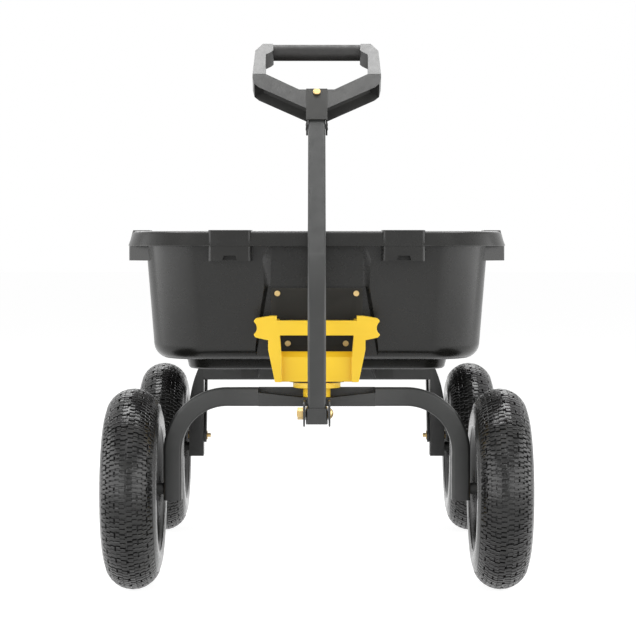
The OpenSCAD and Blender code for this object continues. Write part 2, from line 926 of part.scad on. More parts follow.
// The sides of the grip: local +Z runs up a side from its foot
module at_side() {
    at_grip()
        translate([0, 0, grip_knee])
            rotate([-grip_rake, 0, 0])
                children();
}

knuckle_out = knuckle_in + knuckle_t;
knuckle_foot = 1;
core_foot = handle_tube / 2 + 6.5;
core_top = knuckle_l - 1;
knuckle_front = -grip_t / 2 - 1;
grip_inner = grip_w / 2 - grip_side_w;
bar_peg_d = 12;
bar_peg_l = 12;

module grip_knuckle() {
    depth = grip_t - 4;
    color(charcoal)
        at_grip()
            difference() {
                union() {
                    for (side = [-1, 1]) {
                        translate([side * (knuckle_in + knuckle_t / 2) - knuckle_t / 2, knuckle_front, 0])
                            cube([knuckle_t, depth, knuckle_l]);
                        intersection() {
                            x_rod(depth, knuckle_t, side * (knuckle_in + knuckle_t / 2));
                            translate([-grip_w, -grip_t, -lug_below])
                                cube([2 * grip_w, 2 * grip_t, grip_t]);
                        }
                    }
                    translate([-knuckle_out, knuckle_front, knuckle_foot])
                        cube([2 * knuckle_out, knuckle_t, knuckle_l - knuckle_foot]);
                }
                x_rod(rivet_d + 2 * fit_gap, 4 * knuckle_out);
                translate([0, 0, hitch_pin_up])
                    rotate([90, 0, 0])
                        cylinder(d = hitch_pin_d + 2 * run_gap, h = 2 * grip_t, center = true);
            }
}

// Moulded D frame: a V whose arms thin out towards the sides, two sides and a core inside the knuckle
module grip_arm_outline() {
    half = grip_w / 2;
    polygon([
        [knuckle_out + 0.1, core_top],
        [knuckle_out + 0.1, core_top - grip_arm_h],
        [half - grip_corner / 2, grip_knee - 1.5 * grip_corner],
        [half - 3, grip_knee - 1.1 * grip_corner],
        [half, grip_knee - grip_corner / 3],
        [half, grip_knee + 2],
        [grip_inner, grip_knee + 2],
        [knuckle_out + 12, core_top]
    ]);
}

module grip_side_outline() {
    half = grip_w / 2;
    top = grip_side_l + hand_bar_d / 2 - 2;
    polygon([
        [half, -4],
        [half - grip_corner / 6, top - 1.3 * grip_corner],
        [half - 0.85 * grip_corner, top],
        [grip_inner, top],
        [grip_inner, -4]
    ]);
}

module grip_frame() {
    core_w = 2 * knuckle_in - 0.2;
    core_front = knuckle_front + knuckle_t + 0.1;
    color(charcoal)
        difference() {
            union() {
                at_grip() {
                    intersection() {
                        rotate([90, 0, 0])
                            linear_extrude(grip_t, center = true)
                                for (side = [0, 1])
                                    mirror([side, 0])
                                        grip_arm_outline();
                        rotate([90, 0, 90])
                            linear_extrude(2 * grip_w, center = true)
                                polygon([
                                    [-grip_t / 2, 0],
                                    [grip_t / 2, 0],
                                    [grip_t / 2, core_top - 9],
                                    [grip_side_t / 2, grip_knee - 3],
                                    [grip_side_t / 2, grip_knee + 9],
                                    [-grip_side_t / 2, grip_knee + 9],
                                    [-grip_side_t / 2, grip_knee - 3],
                                    [-grip_t / 2, core_top - 9]
                                ]);
                    }
                    rotate([90, 0, 90])
                        linear_extrude(core_w, center = true)
                            polygon([
                                [core_front, core_foot],
                                [0, core_foot],
                                [grip_t / 2, core_foot + grip_t / 2],
                                [grip_t / 2, core_top - 9],
                                [grip_t / 2 - 1, core_top],
                                [core_front, core_top]
                            ]);
                    translate([-knuckle_out - 2, grip_t / 2 - 4, core_foot + grip_t / 2 + 1])
                        cube([2 * knuckle_out + 4, 4, core_top - core_foot - grip_t / 2 - 10]);
                }
                at_side()
                    rotate([90, 0, 0])
                        linear_extrude(grip_side_t, center = true)
                            for (side = [0, 1])
                                mirror([side, 0])
                                    grip_side_outline();
            }
            at_grip()
                translate([0, 0, hitch_pin_up])
                    rotate([90, 0, 0])
                        cylinder(d = hitch_pin_d + 2 * run_gap, h = 2 * grip_t, center = true);
            at_side()
                translate([0, 0, grip_side_l])
                    x_rod(bar_peg_d, 2 * (grip_inner + bar_peg_l));
        }
}

module hand_bar() {
    color(rubber_black)
        at_side()
            translate([0, 0, grip_side_l]) {
                x_rod(hand_bar_d, 2 * (grip_inner - fit_gap));
                x_rod(bar_peg_d - 2 * fit_gap, 2 * (grip_inner + bar_peg_l - fit_gap));
            }
}

module grip_rivet() {
    color(bare_steel)
        at_grip() {
            x_rod(rivet_d, 2 * knuckle_out + 2);
            for (side = [-1, 1])
                x_rod(rivet_d + 4, 1, side * (knuckle_out + 0.5));
        }
}

module hitch_pin() {
    head_t = 3;
    color(zinc_yellow)
        at_grip()
            translate([0, knuckle_front, hitch_pin_up])
                rotate([90, 0, 0]) {
                    translate([0, 0, rest_gap])
                        cylinder(d = hitch_head_d, h = head_t);
                    translate([0, 0, -grip_t - 6])
                        cylinder(d = hitch_pin_d, h = grip_t + 6 + rest_gap);
                }
}

// Tub: local slices of a drafted box with round corners, hulled between two heights
module corner_posts(x, y0, y1, r) {
    for (side = [-1, 1], y = [y0 + r, y1 - r])
        translate([side * (x - r), y, 0])
            children();
}

module tub_slice(x, y0, y1, r, z) {
    translate([0, 0, z])
        corner_posts(x, y0, y1, r)
            cylinder(r = r, h = 0.01, $fn = 64);
}

// The outside of the walls, moved in by inset, from z_low up to z_high
module tub_body(inset, z_low, z_high, edge_r) {
    in_low = (lip_bottom - z_low) * tan(draft) + inset;
    in_high = (lip_bottom - z_high) * tan(draft) + inset;
    back_low = (lip_bottom - z_low) * tan(rear_draft) + inset;
    back_high = (lip_bottom - z_high) * tan(rear_draft) + inset;
    r = body_corner - inset;
    hull() {
        tub_slice(side_x - in_high, front_y + in_high, rear_y - back_high, r, z_high);
        translate([0, 0, z_low + edge_r])
            corner_posts(side_x - in_low, front_y + in_low, rear_y - back_low, r)
                rotate_extrude($fn = 48)
                    translate([r - edge_r, 0])
                        intersection() {
                            circle(edge_r, $fn = 32);
                            translate([0, -edge_r])
                                square([edge_r, edge_r]);
                        }
    }
}

// The lowered middle of the floor
module tub_pan(inset, z_low, z_high) {
    x = pan_w / 2 - inset;
    y0 = front_y + wall_h * tan(draft) + bottom_r + inset;
    y1 = rear_y - wall_h * tan(rear_draft) - bottom_r - inset;
    slope = pan_drop * 0.6;
    hull() {
        tub_slice(x, y0, y1, pan_corner - inset, z_high);
        tub_slice(x - slope / 2, y0 + slope, y1 - slope, 0.9 * pan_corner - inset, z_low);
    }
}

// The skirt that hangs from the rim
module lip_block(inset, z_low, z_high) {
    grow_low = lip_flare * (rim_z - z_low) / lip_h - lip_flare - inset;
    grow_high = lip_flare * (rim_z - z_high) / lip_h - lip_flare - inset;
    r = rim_corner;
    hull() {
        tub_slice(tub_w / 2 + grow_low, -rim_front - grow_low, rim_rear_y + grow_low, r + grow_low, z_low);
        tub_slice(tub_w / 2 + grow_high, -rim_front - grow_high, rim_rear_y + grow_high, r + grow_high, z_high);
    }
}

// A vertical flat is let into the sloping front wall; it widens towards its foot
module front_recess(grow, y) {
    top_z = lip_bottom - 0.5 + grow;
    low_z = pan_z;
    half_top = recess_w / 2 + grow;
    half_low = half_top + (top_z - low_z) * tan(recess_slope);
    translate([0, y, 0])
        rotate([90, 0, 0])
            linear_extrude(tub_w)
                polygon([
                    [-half_top, top_z],
                    [half_top, top_z],
                    [half_low, low_z],
                    [-half_low, low_z]
                ]);
}

// Pockets stand under the rim; they are open below and have a notch at their foot
pocket_d = lip_over + lip_flare - 2;

module pocket_place() {
    middle_y = (rim_rear_y - rim_front) / 2;
    for (side = [-1, 1]) {
        translate([side * pocket_x, -rim_front, 0])
            children();
        translate([side * pocket_x, rim_rear_y, 0])
            rotate([0, 0, 180])
                children();
        for (y = [-1, 1])
            translate([side * tub_w / 2, middle_y + y * pocket_y, 0])
                rotate([0, 0, side * 90])
                    children();
    }
}

module pocket_outer() {
    translate([-pocket_w / 2, 1, rim_z + pocket_proud - pocket_h])
        cube([pocket_w, pocket_d + 12, pocket_h]);
}

module pocket_inner() {
    wall = tub_wall - 1;
    notch_w = 25;
    notch_h = 8;
    translate([-pocket_w / 2 + wall, 1 + wall, rim_z - pocket_h - 5])
        cube([pocket_w - 2 * wall, pocket_d - 2 * wall, pocket_h + 5 - tub_wall]);
    translate([-notch_w / 2, -1, rim_z + pocket_proud - pocket_h - 1])
        cube([notch_w, wall + 4, notch_h + 1]);
}

module plate_bolt_holes(d, y0, y1) {
    z_top = front_plate_top - bolt_top_down;
    z_low = front_plate_top - plate_h + bolt_low_up;
    for (side = [-1, 1], p = [[bolt_top_x / 2, z_top], [bolt_low_x / 2, z_low]])
        translate([side * p[0], y0, p[1]])
            rotate([-90, 0, 0])
                cylinder(d = d, h = y1 - y0);
}

rail_bolt_d = 8;
rail_head_t = 4;

rail_end = wheelbase + tip_back - tip_bar_w / 2;

module rail_bolt_place() {
    first_y = rail_front + rail_bolt_in;
    last_y = rail_end - rail_bolt_in;
    for (side = [-1, 1], y = [first_y, (first_y + last_y) / 2, last_y])
        translate([side * rail_x, y, 0])
            children();
}

module tub() {
    wall = tub_wall;
    color(tub_black)
        placed()
            difference() {
                union() {
                    difference() {
                        union() {
                            tub_body(0, floor_z, rim_z, bottom_r);
                            tub_pan(0, pan_z, floor_z + 10);
                        }
                        front_recess(0, recess_y);
                    }
                    difference() {
                        lip_block(0, lip_bottom, rim_z);
                        lip_block(wall - 1, lip_bottom - 1, rim_z - wall);
                        tub_body(wall, floor_z + wall, rim_z + 10, bottom_r - wall);
                    }
                    difference() {
                        pocket_place()
                            pocket_outer();
                        tub_body(wall, floor_z + wall, rim_z + 10, bottom_r - wall);
                    }
                }
                difference() {
                    union() {
                        tub_body(wall, floor_z + wall, rim_z + 10, bottom_r - wall);
                        tub_pan(wall, pan_z + wall, floor_z + 20);
                    }
                    front_recess(wall, recess_y + wall);
                }
                pocket_place()
                    pocket_inner();
                plate_bolt_holes(plate_bolt_d + 0.5, recess_y - 10, recess_y + 3 * wall);
                rail_bolt_place() {
                    translate([0, 0, pan_z - 5])
                        cylinder(d = rail_bolt_d + 0.5, h = pan_drop + 2 * wall);
                    translate([0, 0, pan_z + wall - rail_head_t - 0.2])
                        cylinder(d1 = rail_bolt_d + 0.5, d2 = 2 * rail_bolt_d + 0.9, h = rail_head_t + 0.2);
                }
            }
}

ear_t = 5;
cheek_in = lever_bar_l / 2 - cheek_w + 9;
ear_out = cheek_in - side_gap;

module front_plate() {
    ear_r = 12;
    color(charcoal)
        placed()
            difference() {
                union() {
                    translate([-plate_w / 2, recess_y - plate_t, front_plate_top - plate_h])
                        cube([plate_w, plate_t, plate_h]);
                    for (side = [-1, 1])
                        translate([side * (ear_out - ear_t / 2), 0, lever_z]) {
                            translate([-ear_t / 2, latch_y, -ear_r])
                                cube([ear_t, recess_y - plate_t - latch_y, 2 * ear_r]);
                            translate([0, latch_y, 0])
                                x_rod(2 * ear_r, ear_t);
                        }
                }
                translate([0, latch_y, lever_z])
                    x_rod(latch_pin_d + 2 * fit_gap, tub_w);
                plate_bolt_holes(plate_bolt_d + 2 * fit_gap, recess_y - 20, recess_y + 20);
            }
}

module plate_bolts() {
    head_t = 4;
    color(zinc_yellow)
        placed() {
            plate_bolt_holes(plate_bolt_d, recess_y - plate_t - 1, recess_y + tub_wall + 10);
            plate_bolt_holes(1.2 * plate_bolt_d, recess_y - plate_t - head_t, recess_y - plate_t);
        }
}

module plate_nuts() {
    nut_t = 7;
    color(zinc_yellow)
        placed()
            difference() {
                plate_bolt_holes(2 * plate_bolt_d, recess_y + tub_wall, recess_y + tub_wall + nut_t);
                plate_bolt_holes(plate_bolt_d + 2 * fit_gap, recess_y, recess_y + 30);
            }
}

module latch_pin() {
    pin_out = cheek_in + 9 + side_gap;
    head_t = 2;
    color(bare_steel)
        placed()
            translate([0, latch_y, lever_z]) {
                x_rod(latch_pin_d, 2 * pin_out);
                for (side = [-1, 1])
                    x_rod(latch_pin_d + 5, head_t, side * (pin_out + head_t / 2));
            }
}

// The outline of a flared end: a block whose outer edge is hollowed for the finger
module lever_end_outline() {
    x0 = lever_bar_l / 2 - 5;
    x1 = lever_bar_l / 2 + lever_end_l;
    half_h = lever_end_h / 2;
    notch_r = lever_end_h / 3;
    notch_in = 4.7;
    difference() {
        polygon([
            [x0, -half_h + 2],
            [x0 + 16, -half_h],
            [x1 - 3, -half_h + 4],
            [x1, -half_h + 7.5],
            [x1, half_h - 7.5],
            [x1 - 3, half_h - 4],
            [x0 + 16, half_h - 1],
            [x0 + 10, half_h],
            [x0, half_h]
        ]);
        translate([x1 + notch_r - notch_in, 0])
            circle(notch_r);
    }
}

module release_lever() {
    bar_low = -lever_bar_h / 2;
    cheek_top_x = lever_bar_l / 2 + 9;
    cheek_low_x = cheek_top_x - lever_taper;
    lobe_r = 13;
    lobe_t = 8;
    web_y = -lever_reach + web_back;
    hook_top = catch_z - catch_pin_d / 2 - side_gap - lever_z;
    color(lever_yellow)
        placed()
            translate([0, latch_y, lever_z])
                difference() {
                    union() {
                        translate([-lever_bar_l / 2, -lever_reach, bar_low])
                            cube([lever_bar_l, lever_bar_t, lever_bar_h]);
                        for (side = [0, 1])
                            mirror([side, 0, 0]) {
                                translate([0, -lever_reach, 0])
                                    rotate([-90, 0, 0])
                                        linear_extrude(lever_bar_t + 4)
                                            mirror([0, 1])
                                                lever_end_outline();
                                translate([0, -lever_reach, 0])
                                    rotate([-90, 0, 0])
                                        linear_extrude(cheek_t)
                                            mirror([0, 1])
                                                polygon([
                                                    [cheek_in, 0],
                                                    [cheek_top_x, 0],
                                                    [cheek_top_x, -lever_drop * 0.4],
                                                    [cheek_low_x, -lever_drop],
                                                    [cheek_in - 4, -lever_drop],
                                                    [cheek_in - 4, -lever_drop + web_h]
                                                ]);
                                translate([cheek_in, -lever_reach + 1, bar_low])
                                    cube([lobe_t, lever_reach - 1, lever_bar_h]);
                                x_rod(2 * lobe_r, lobe_t, cheek_in + lobe_t / 2);
                            }
                        rotate([90, 0, 90])
                            linear_extrude(2 * cheek_in, center = true)
                                polygon([
                                    [web_y, -lever_drop],
                                    [web_y, -lever_drop + web_h],
                                    [web_y + web_back, -lever_drop + web_h + 9],
                                    [web_y + web_back + 3, -lever_drop + web_h + 9],
                                    [web_y + web_t, -lever_drop + web_h - 5],
                                    [web_y + web_t, -lever_drop]
                                ]);
                        translate([-hook_w / 2, web_y + 1, hook_top - hook_t])
                            cube([hook_w, -latch_y - catch_pin_d / 2 - hook_short - web_y - 1, hook_t]);
                    }
                    x_rod(latch_pin_d + 2 * run_gap, tub_w);
                }
}

// Tip frame under the tub
module floor_rails() {
    color(charcoal)
        placed()
            difference() {
                for (side = [-1, 1])
                    translate([side * rail_x - rail_w / 2, rail_front, rail_z])
                        cube([rail_w, rail_end - rail_front, rail_h]);
                rail_bolt_place()
                    translate([0, 0, rail_z - 1])
                        cylinder(d = rail_bolt_d + 2 * fit_gap, h = rail_h + 2);
            }
}

module rail_bolts() {
    color(zinc_yellow)
        placed()
            rail_bolt_place() {
                translate([0, 0, rail_z + 4])
                    cylinder(d = rail_bolt_d, h = rail_h - 4 + tub_wall - rail_head_t);
                translate([0, 0, pan_z + tub_wall - rail_head_t])
                    cylinder(d1 = rail_bolt_d, d2 = 2 * rail_bolt_d, h = rail_head_t);
            }
}

module tip_crossbar() {
    color(charcoal)
        placed()
            translate([-tip_arm_in, rail_end, rail_z])
                cube([2 * tip_arm_in, tip_bar_w, rail_h]);
}

module tip_arms() {
    top_z = rail_z + rail_h / 2;
    reach = sqrt(pow(tip_back, 2) + pow(top_z - pivot_z, 2));
    angle = atan2(top_z - pivot_z, tip_back);
    color(charcoal)
        placed()
            difference() {
                for (side = [-1, 1])
                    translate([side * (tip_arm_in + tip_arm_t / 2), 0, 0])
                        intersection() {
                            rotate([90, 0, 90])
                                linear_extrude(tip_arm_t, center = true)
                                    translate([wheelbase, pivot_z])
                                        rotate(angle) {
                                            circle(d = tip_arm_w);
                                            translate([0, -tip_arm_w / 2])
                                                square([reach, tip_arm_w]);
                                            translate([reach, 0])
                                                circle(d = tip_arm_w);
                                        }
                            translate([-tip_arm_t, 0, 0])
                                cube([2 * tip_arm_t, 2 * wheelbase, pan_z]);
                        }
                translate([0, wheelbase, pivot_z])
                    x_rod(pivot_d + 2 * run_gap, track);
            }
}

backbone();
head_plate();
steering_head();
king_pin();
king_pin_washer();
king_pin_nut();
latch_catch();
front_rest();
rear_crossbar();
rear_leg(-1);  // rear_leg_left
rear_leg(1);  // rear_leg_right
stub_axles(wheelbase, rear_leg_w);  // rear_stub_axles
axle_washers(wheelbase);  // rear_axle_washers
axle_nuts(wheelbase);  // rear_axle_nuts
pivot_bolts();
bump_pads();
axle_tube(-1);  // axle_tube_left
axle_tube(1);  // axle_tube_right
steering_saddle();
tongue_plates();
tongue_bolt();
tongue_nut();
tongue_spacers();
stub_axles(0, arch_tube);  // front_stub_axles
axle_washers(0);  // front_axle_washers
axle_nuts(0);  // front_axle_nuts
tyre(-1, 0);  // tyre_front_left
tyre(1, 0);  // tyre_front_right
tyre(-1, wheelbase);  // tyre_rear_left
tyre(1, wheelbase);  // tyre_rear_right
rim(-1, 0);  // rim_front_left
rim(1, 0);  // rim_front_right
rim(-1, wheelbase);  // rim_rear_left
rim(1, wheelbase);  // rim_rear_right
bearings(-1, 0);  // bearings_front_left
bearings(1, 0);  // bearings_front_right
bearings(-1, wheelbase);  // bearings_rear_left
bearings(1, wheelbase);  // bearings_rear_right
valve(-1, 0);  // valve_front_left
valve(1, 0);  // valve_front_right
valve(-1, wheelbase);  // valve_rear_left
valve(1, wheelbase);  // valve_rear_right
handle_tube_bent();
handle_foot();
grip_knuckle();
grip_frame();
hand_bar();
grip_rivet();
hitch_pin();
tub();
front_plate();
plate_bolts();
plate_nuts();
latch_pin();
floor_rails();
rail_bolts();
tip_crossbar();
tip_arms();
release_lever();
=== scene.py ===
import json
import math

import bpy
from mathutils import Matrix, Vector


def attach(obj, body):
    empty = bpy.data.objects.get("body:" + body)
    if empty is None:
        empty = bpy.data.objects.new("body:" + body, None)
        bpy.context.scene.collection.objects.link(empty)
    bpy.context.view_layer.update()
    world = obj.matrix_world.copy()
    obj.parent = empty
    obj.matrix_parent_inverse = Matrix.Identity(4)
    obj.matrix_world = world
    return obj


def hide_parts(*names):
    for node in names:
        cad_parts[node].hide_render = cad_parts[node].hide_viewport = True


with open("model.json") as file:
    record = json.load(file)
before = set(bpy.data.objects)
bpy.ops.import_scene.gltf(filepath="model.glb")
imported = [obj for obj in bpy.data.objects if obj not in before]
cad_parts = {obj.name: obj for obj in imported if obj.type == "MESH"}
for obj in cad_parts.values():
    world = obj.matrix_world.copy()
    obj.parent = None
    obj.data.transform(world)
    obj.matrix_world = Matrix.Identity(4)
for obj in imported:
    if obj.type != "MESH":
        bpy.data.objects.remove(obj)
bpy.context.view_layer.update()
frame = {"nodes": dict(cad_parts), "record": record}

# Places from the frame
# The wheels' joints give the two axle lines, from which the new pieces take their places.
PLACES = {joint["name"]: joint.get("pos_m") for joint in frame["record"]["behaviour"]["joints"]}
FRONT, AXLE_Z = PLACES["wheel_front_left_spin"][1:]
REAR = PLACES["wheel_rear_left_spin"][1]

# Studio
# A white sweep: a pale floor that keeps a soft shadow, an even white world and five soft lamps.
# The camera stands in front of the handle, at the height and distance that the perspective gives.
CAMERA_SENSOR = 36.0
CAMERA_LENS = 118.6
CAMERA_BACK = 3.44
CAMERA_HEIGHT = 0.581
CAMERA_DIP = 2.242
CAMERA_TURN = -0.033
WORLD_FILL = 0.22
FLOOR_SIZE = 60.0
FLOOR_DROP = 0.0006
FLOOR_SHADE = 0.36
FLOOR_GLOW = 0.91
FLOOR_BOUNCE = 0.60
SEEN_RAYS = ("Is Camera Ray", "Is Glossy Ray", "Is Transmission Ray")
LAMPS = (
    ("lamp_over", (0.0, 0.55, 3.3), (0.0, 0.4, 0.4), 2.8, 1.6, 92.0),
    ("lamp_front", (0.0, -2.9, 4.3), (0.0, -0.3, 0.5), 4.6, 2.0, 26.0),
    ("lamp_left", (-2.1, -2.6, 1.03), (-1.127, -2.371, 1.03), 7.0, 1.95, 106.0),
    ("lamp_right", (2.1, -2.6, 1.03), (1.127, -2.371, 1.03), 7.0, 1.95, 106.0),
    ("lamp_back", (0.0, 3.2, 2.2), (0.0, 0.2, 0.5), 3.0, 1.6, 26.0),
)

scene = bpy.context.scene
scene.view_settings.view_transform = "Standard"

camera_data = bpy.data.cameras.new("studio_camera")
camera_data.sensor_width = CAMERA_SENSOR
camera_data.lens = CAMERA_LENS
camera_data.clip_end = FLOOR_SIZE
camera = bpy.data.objects.new("studio_camera", camera_data)
camera.location = (0.0, FRONT - CAMERA_BACK, CAMERA_HEIGHT)
camera.rotation_euler = (math.radians(90.0 - CAMERA_DIP), 0.0, math.radians(CAMERA_TURN))
scene.collection.objects.link(camera)
scene.camera = camera


def grey(level):
    return (level, level, level, 1.0)


def swap_when_seen(tree, plain, seen, end):
    path = tree.nodes.new("ShaderNodeLightPath")
    ray = path.outputs[SEEN_RAYS[0]]
    for other in SEEN_RAYS[1:]:
        either = tree.nodes.new("ShaderNodeMath")
        either.operation = "MAXIMUM"
        tree.links.new(ray, either.inputs[0])
        tree.links.new(path.outputs[other], either.inputs[1])
        ray = either.outputs["Value"]
    mix = tree.nodes.new("ShaderNodeMixShader")
    tree.links.new(ray, mix.inputs["Fac"])
    tree.links.new(plain.outputs[0], mix.inputs[1])
    tree.links.new(seen.outputs[0], mix.inputs[2])
    tree.links.new(mix.outputs["Shader"], tree.nodes[end].inputs["Surface"])


world = bpy.data.worlds.new("studio_world")
world.use_nodes = True
scene.world = world
sky = world.node_tree
sky_fill = sky.nodes["Background"]
sky_white = sky.nodes.new("ShaderNodeBackground")
for background, strength in ((sky_fill, WORLD_FILL), (sky_white, 1.0)):
    background.inputs["Color"].default_value = grey(1.0)
    background.inputs["Strength"].default_value = strength
swap_when_seen(sky, sky_fill, sky_white, "World Output")

bpy.ops.object.select_all(action="DESELECT")
bpy.ops.mesh.primitive_plane_add(size=FLOOR_SIZE, location=(0.0, 0.0, -FLOOR_DROP))
floor = bpy.context.object
floor.name = "studio_floor"
floor_mat = bpy.data.materials.new("studio_floor_white")
floor_mat.use_nodes = True
floor_tree = floor_mat.node_tree
floor_tree.nodes.remove(floor_tree.nodes["Principled BSDF"])
floor_diffuse = floor_tree.nodes.new("ShaderNodeBsdfDiffuse")
floor_diffuse.inputs["Color"].default_value = grey(FLOOR_SHADE)
floor_glow = floor_tree.nodes.new("ShaderNodeEmission")
floor_glow.inputs["Color"].default_value = grey(1.0)
floor_glow.inputs["Strength"].default_value = FLOOR_GLOW
floor_seen = floor_tree.nodes.new("ShaderNodeAddShader")
floor_tree.links.new(floor_diffuse.outputs[0], floor_seen.inputs[0])
floor_tree.links.new(floor_glow.outputs[0], floor_seen.inputs[1])
floor_plain = floor_tree.nodes.new("ShaderNodeBsdfDiffuse")
floor_plain.inputs["Color"].default_value = grey(FLOOR_BOUNCE)
swap_when_seen(floor_tree, floor_plain, floor_seen, "Material Output")
floor.data.materials.append(floor_mat)

for name, spot, aim, width, height, power in LAMPS:
    lamp_data = bpy.data.lights.new(name, "AREA")
    lamp_data.shape = "RECTANGLE"
    lamp_data.size = width
    lamp_data.size_y = height
    lamp_data.energy = power
    lamp = bpy.data.objects.new(name, lamp_data)
    lamp.location = spot
    lamp.rotation_euler = (Vector(aim) - Vector(spot)).to_track_quat("-Z", "Y").to_euler()
    scene.collection.objects.link(lamp)

# Frame tubes
# The backbone and the rear crossbar are welded steel tubes, and the rear legs are bent tubes that
# carry the rear axle; all are powder coated in satin charcoal. Edge widths are in metres.
CAD_WELD = 0.00001
FLAT_ANGLE = 0.4


def pick(piece):
    bpy.ops.object.select_all(action="DESELECT")
    piece.select_set(True)
    bpy.context.view_layer.objects.active = piece


def soften(piece, edge_width, segments=2, angle=35.0):
    pick(piece)
    edge = piece.modifiers.new("soft_edges", "BEVEL")
    edge.limit_method = "ANGLE"
    edge.angle_limit = math.radians(angle)
    edge.width = edge_width
    edge.segments = segments
    edge.use_clamp_overlap = True
    bpy.ops.object.modifier_apply(modifier=edge.name)


def shade(piece, angle=32.0):
    pick(piece)
    bpy.ops.object.shade_smooth_by_angle(angle=math.radians(angle))


def level_faces(piece):
    pick(piece)
    even = piece.modifiers.new("level_faces", "WEIGHTED_NORMAL")
    even.keep_sharp = True
    bpy.ops.object.modifier_apply(modifier=even.name)


def fit(piece, body, finish, node):
    piece.data.materials.clear()
    piece.data.materials.append(finish)
    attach(piece, body)
    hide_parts(node)


def soft_copy(node, name, edge_width, segments, angle):
    piece = bpy.data.objects.new(name, frame["nodes"][node].data.copy())
    scene.collection.objects.link(piece)
    pick(piece)
    bpy.ops.mesh.customdata_custom_splitnormals_clear()
    bpy.ops.object.mode_set(mode="EDIT")
    bpy.ops.mesh.select_all(action="SELECT")
    bpy.ops.mesh.remove_doubles(threshold=CAD_WELD)
    bpy.ops.mesh.dissolve_limited(angle_limit=math.radians(FLAT_ANGLE))
    bpy.ops.object.mode_set(mode="OBJECT")
    if edge_width:
        soften(piece, edge_width, segments, angle)
    shade(piece)
    level_faces(piece)
    return piece


def dress(node, name, edge_width, body, finish, segments=2, angle=35.0):
    fit(soft_copy(node, name, edge_width, segments, angle), body, finish, node)


def finish_start(name):
    finish = bpy.data.materials.new(name)
    finish.use_nodes = True
    return finish, finish.node_tree, finish.node_tree.nodes["Principled BSDF"]


def own_place(tree):
    return tree.nodes.new("ShaderNodeTexCoord").outputs["Object"]


def mottle(tree, place, scale, detail=3.0, rough=0.55):
    noise = tree.nodes.new("ShaderNodeTexNoise")
    noise.inputs["Scale"].default_value = scale
    noise.inputs["Detail"].default_value = detail
    noise.inputs["Roughness"].default_value = rough
    tree.links.new(place, noise.inputs["Vector"])
    return noise.outputs["Fac"]


def ramp(tree, factor, low, high, low_at=0.35, high_at=0.65):
    stops = tree.nodes.new("ShaderNodeValToRGB")
    stops.color_ramp.elements[0].position = low_at
    stops.color_ramp.elements[0].color = (*low, 1.0)
    stops.color_ramp.elements[1].position = high_at
    stops.color_ramp.elements[1].color = (*high, 1.0)
    tree.links.new(factor, stops.inputs["Fac"])
    return stops.outputs["Color"]


def blend_colour(tree, factor, first, second):
    mix = tree.nodes.new("ShaderNodeMix")
    mix.data_type = "RGBA"
    tree.links.new(factor, mix.inputs["Factor"])
    tree.links.new(first, mix.inputs["A"])
    mix.inputs["B"].default_value = (*second, 1.0)
    return mix.outputs["Result"]


def spread(tree, factor, low, high, from_low=0.3, from_high=0.7):
    span = tree.nodes.new("ShaderNodeMapRange")
    span.inputs["From Min"].default_value = from_low
    span.inputs["From Max"].default_value = from_high
    span.inputs["To Min"].default_value = low
    span.inputs["To Max"].default_value = high
    tree.links.new(factor, span.inputs["Value"])
    return span.outputs["Result"]


def relief(tree, shader, height, strength, depth):
    bump = tree.nodes.new("ShaderNodeBump")
    bump.inputs["Strength"].default_value = strength
    bump.inputs["Distance"].default_value = depth
    tree.links.new(height, bump.inputs["Height"])
    tree.links.new(bump.outputs["Normal"], shader.inputs["Normal"])


def powder_coat(name, dark, light, worn, shine=0.5, low=0.31, high=0.46):
    finish, tree, shader = finish_start(name)
    place = own_place(tree)
    tone = ramp(tree, mottle(tree, place, 9.0, 4.0), dark, light)
    edge = tree.nodes.new("ShaderNodeNewGeometry")
    rubbed = spread(tree, edge.outputs["Pointiness"], 0.0, 0.55, 0.53, 0.62)
    tree.links.new(blend_colour(tree, rubbed, tone, worn), shader.inputs["Base Color"])
    tree.links.new(spread(tree, mottle(tree, place, 60.0), low, high), shader.inputs["Roughness"])
    relief(tree, shader, mottle(tree, place, 620.0, 2.0), 0.16, 0.0005)
    shader.inputs["Specular IOR Level"].default_value = shine
    return finish


charcoal = powder_coat("charcoal_powder_coat", (0.027, 0.028, 0.027), (0.035, 0.036, 0.035),
                       (0.075, 0.075, 0.075), 0.42)

dress("backbone", "backbone_tube", 0.0, "chassis", charcoal)
dress("rear_crossbar", "crossbar_tube", 0.0, "chassis", charcoal)
for side in ("left", "right"):
    dress("rear_leg_" + side, "rear_leg_tube_" + side, 0.0045, "chassis", charcoal, 3, 40.0)

# Head plate, steering head and king pin
# The head plate is flame-cut plate under the front of the tub. A turned yellow collar sits below it,
# and a king pin with a washer and a nut holds the front axle up against the collar.
yellow = powder_coat("yellow_powder_coat", (0.91, 0.58, 0.022), (0.96, 0.63, 0.028), (1.0, 0.72, 0.07))


def plated(name, dark, light, low, high):
    finish, tree, shader = finish_start(name)
    place = own_place(tree)
    tone = ramp(tree, mottle(tree, place, 45.0), dark, light)
    tree.links.new(tone, shader.inputs["Base Color"])
    shader.inputs["Metallic"].default_value = 0.9
    tree.links.new(spread(tree, mottle(tree, place, 160.0), low, high), shader.inputs["Roughness"])
    relief(tree, shader, mottle(tree, place, 900.0, 2.0), 0.10, 0.0003)
    return finish


turned_steel = plated("turned_steel", (0.42, 0.42, 0.43), (0.58, 0.58, 0.58), 0.22, 0.40)
zinc = plated("yellow_zinc_plate", (0.50, 0.35, 0.14), (0.66, 0.49, 0.23), 0.28, 0.46)

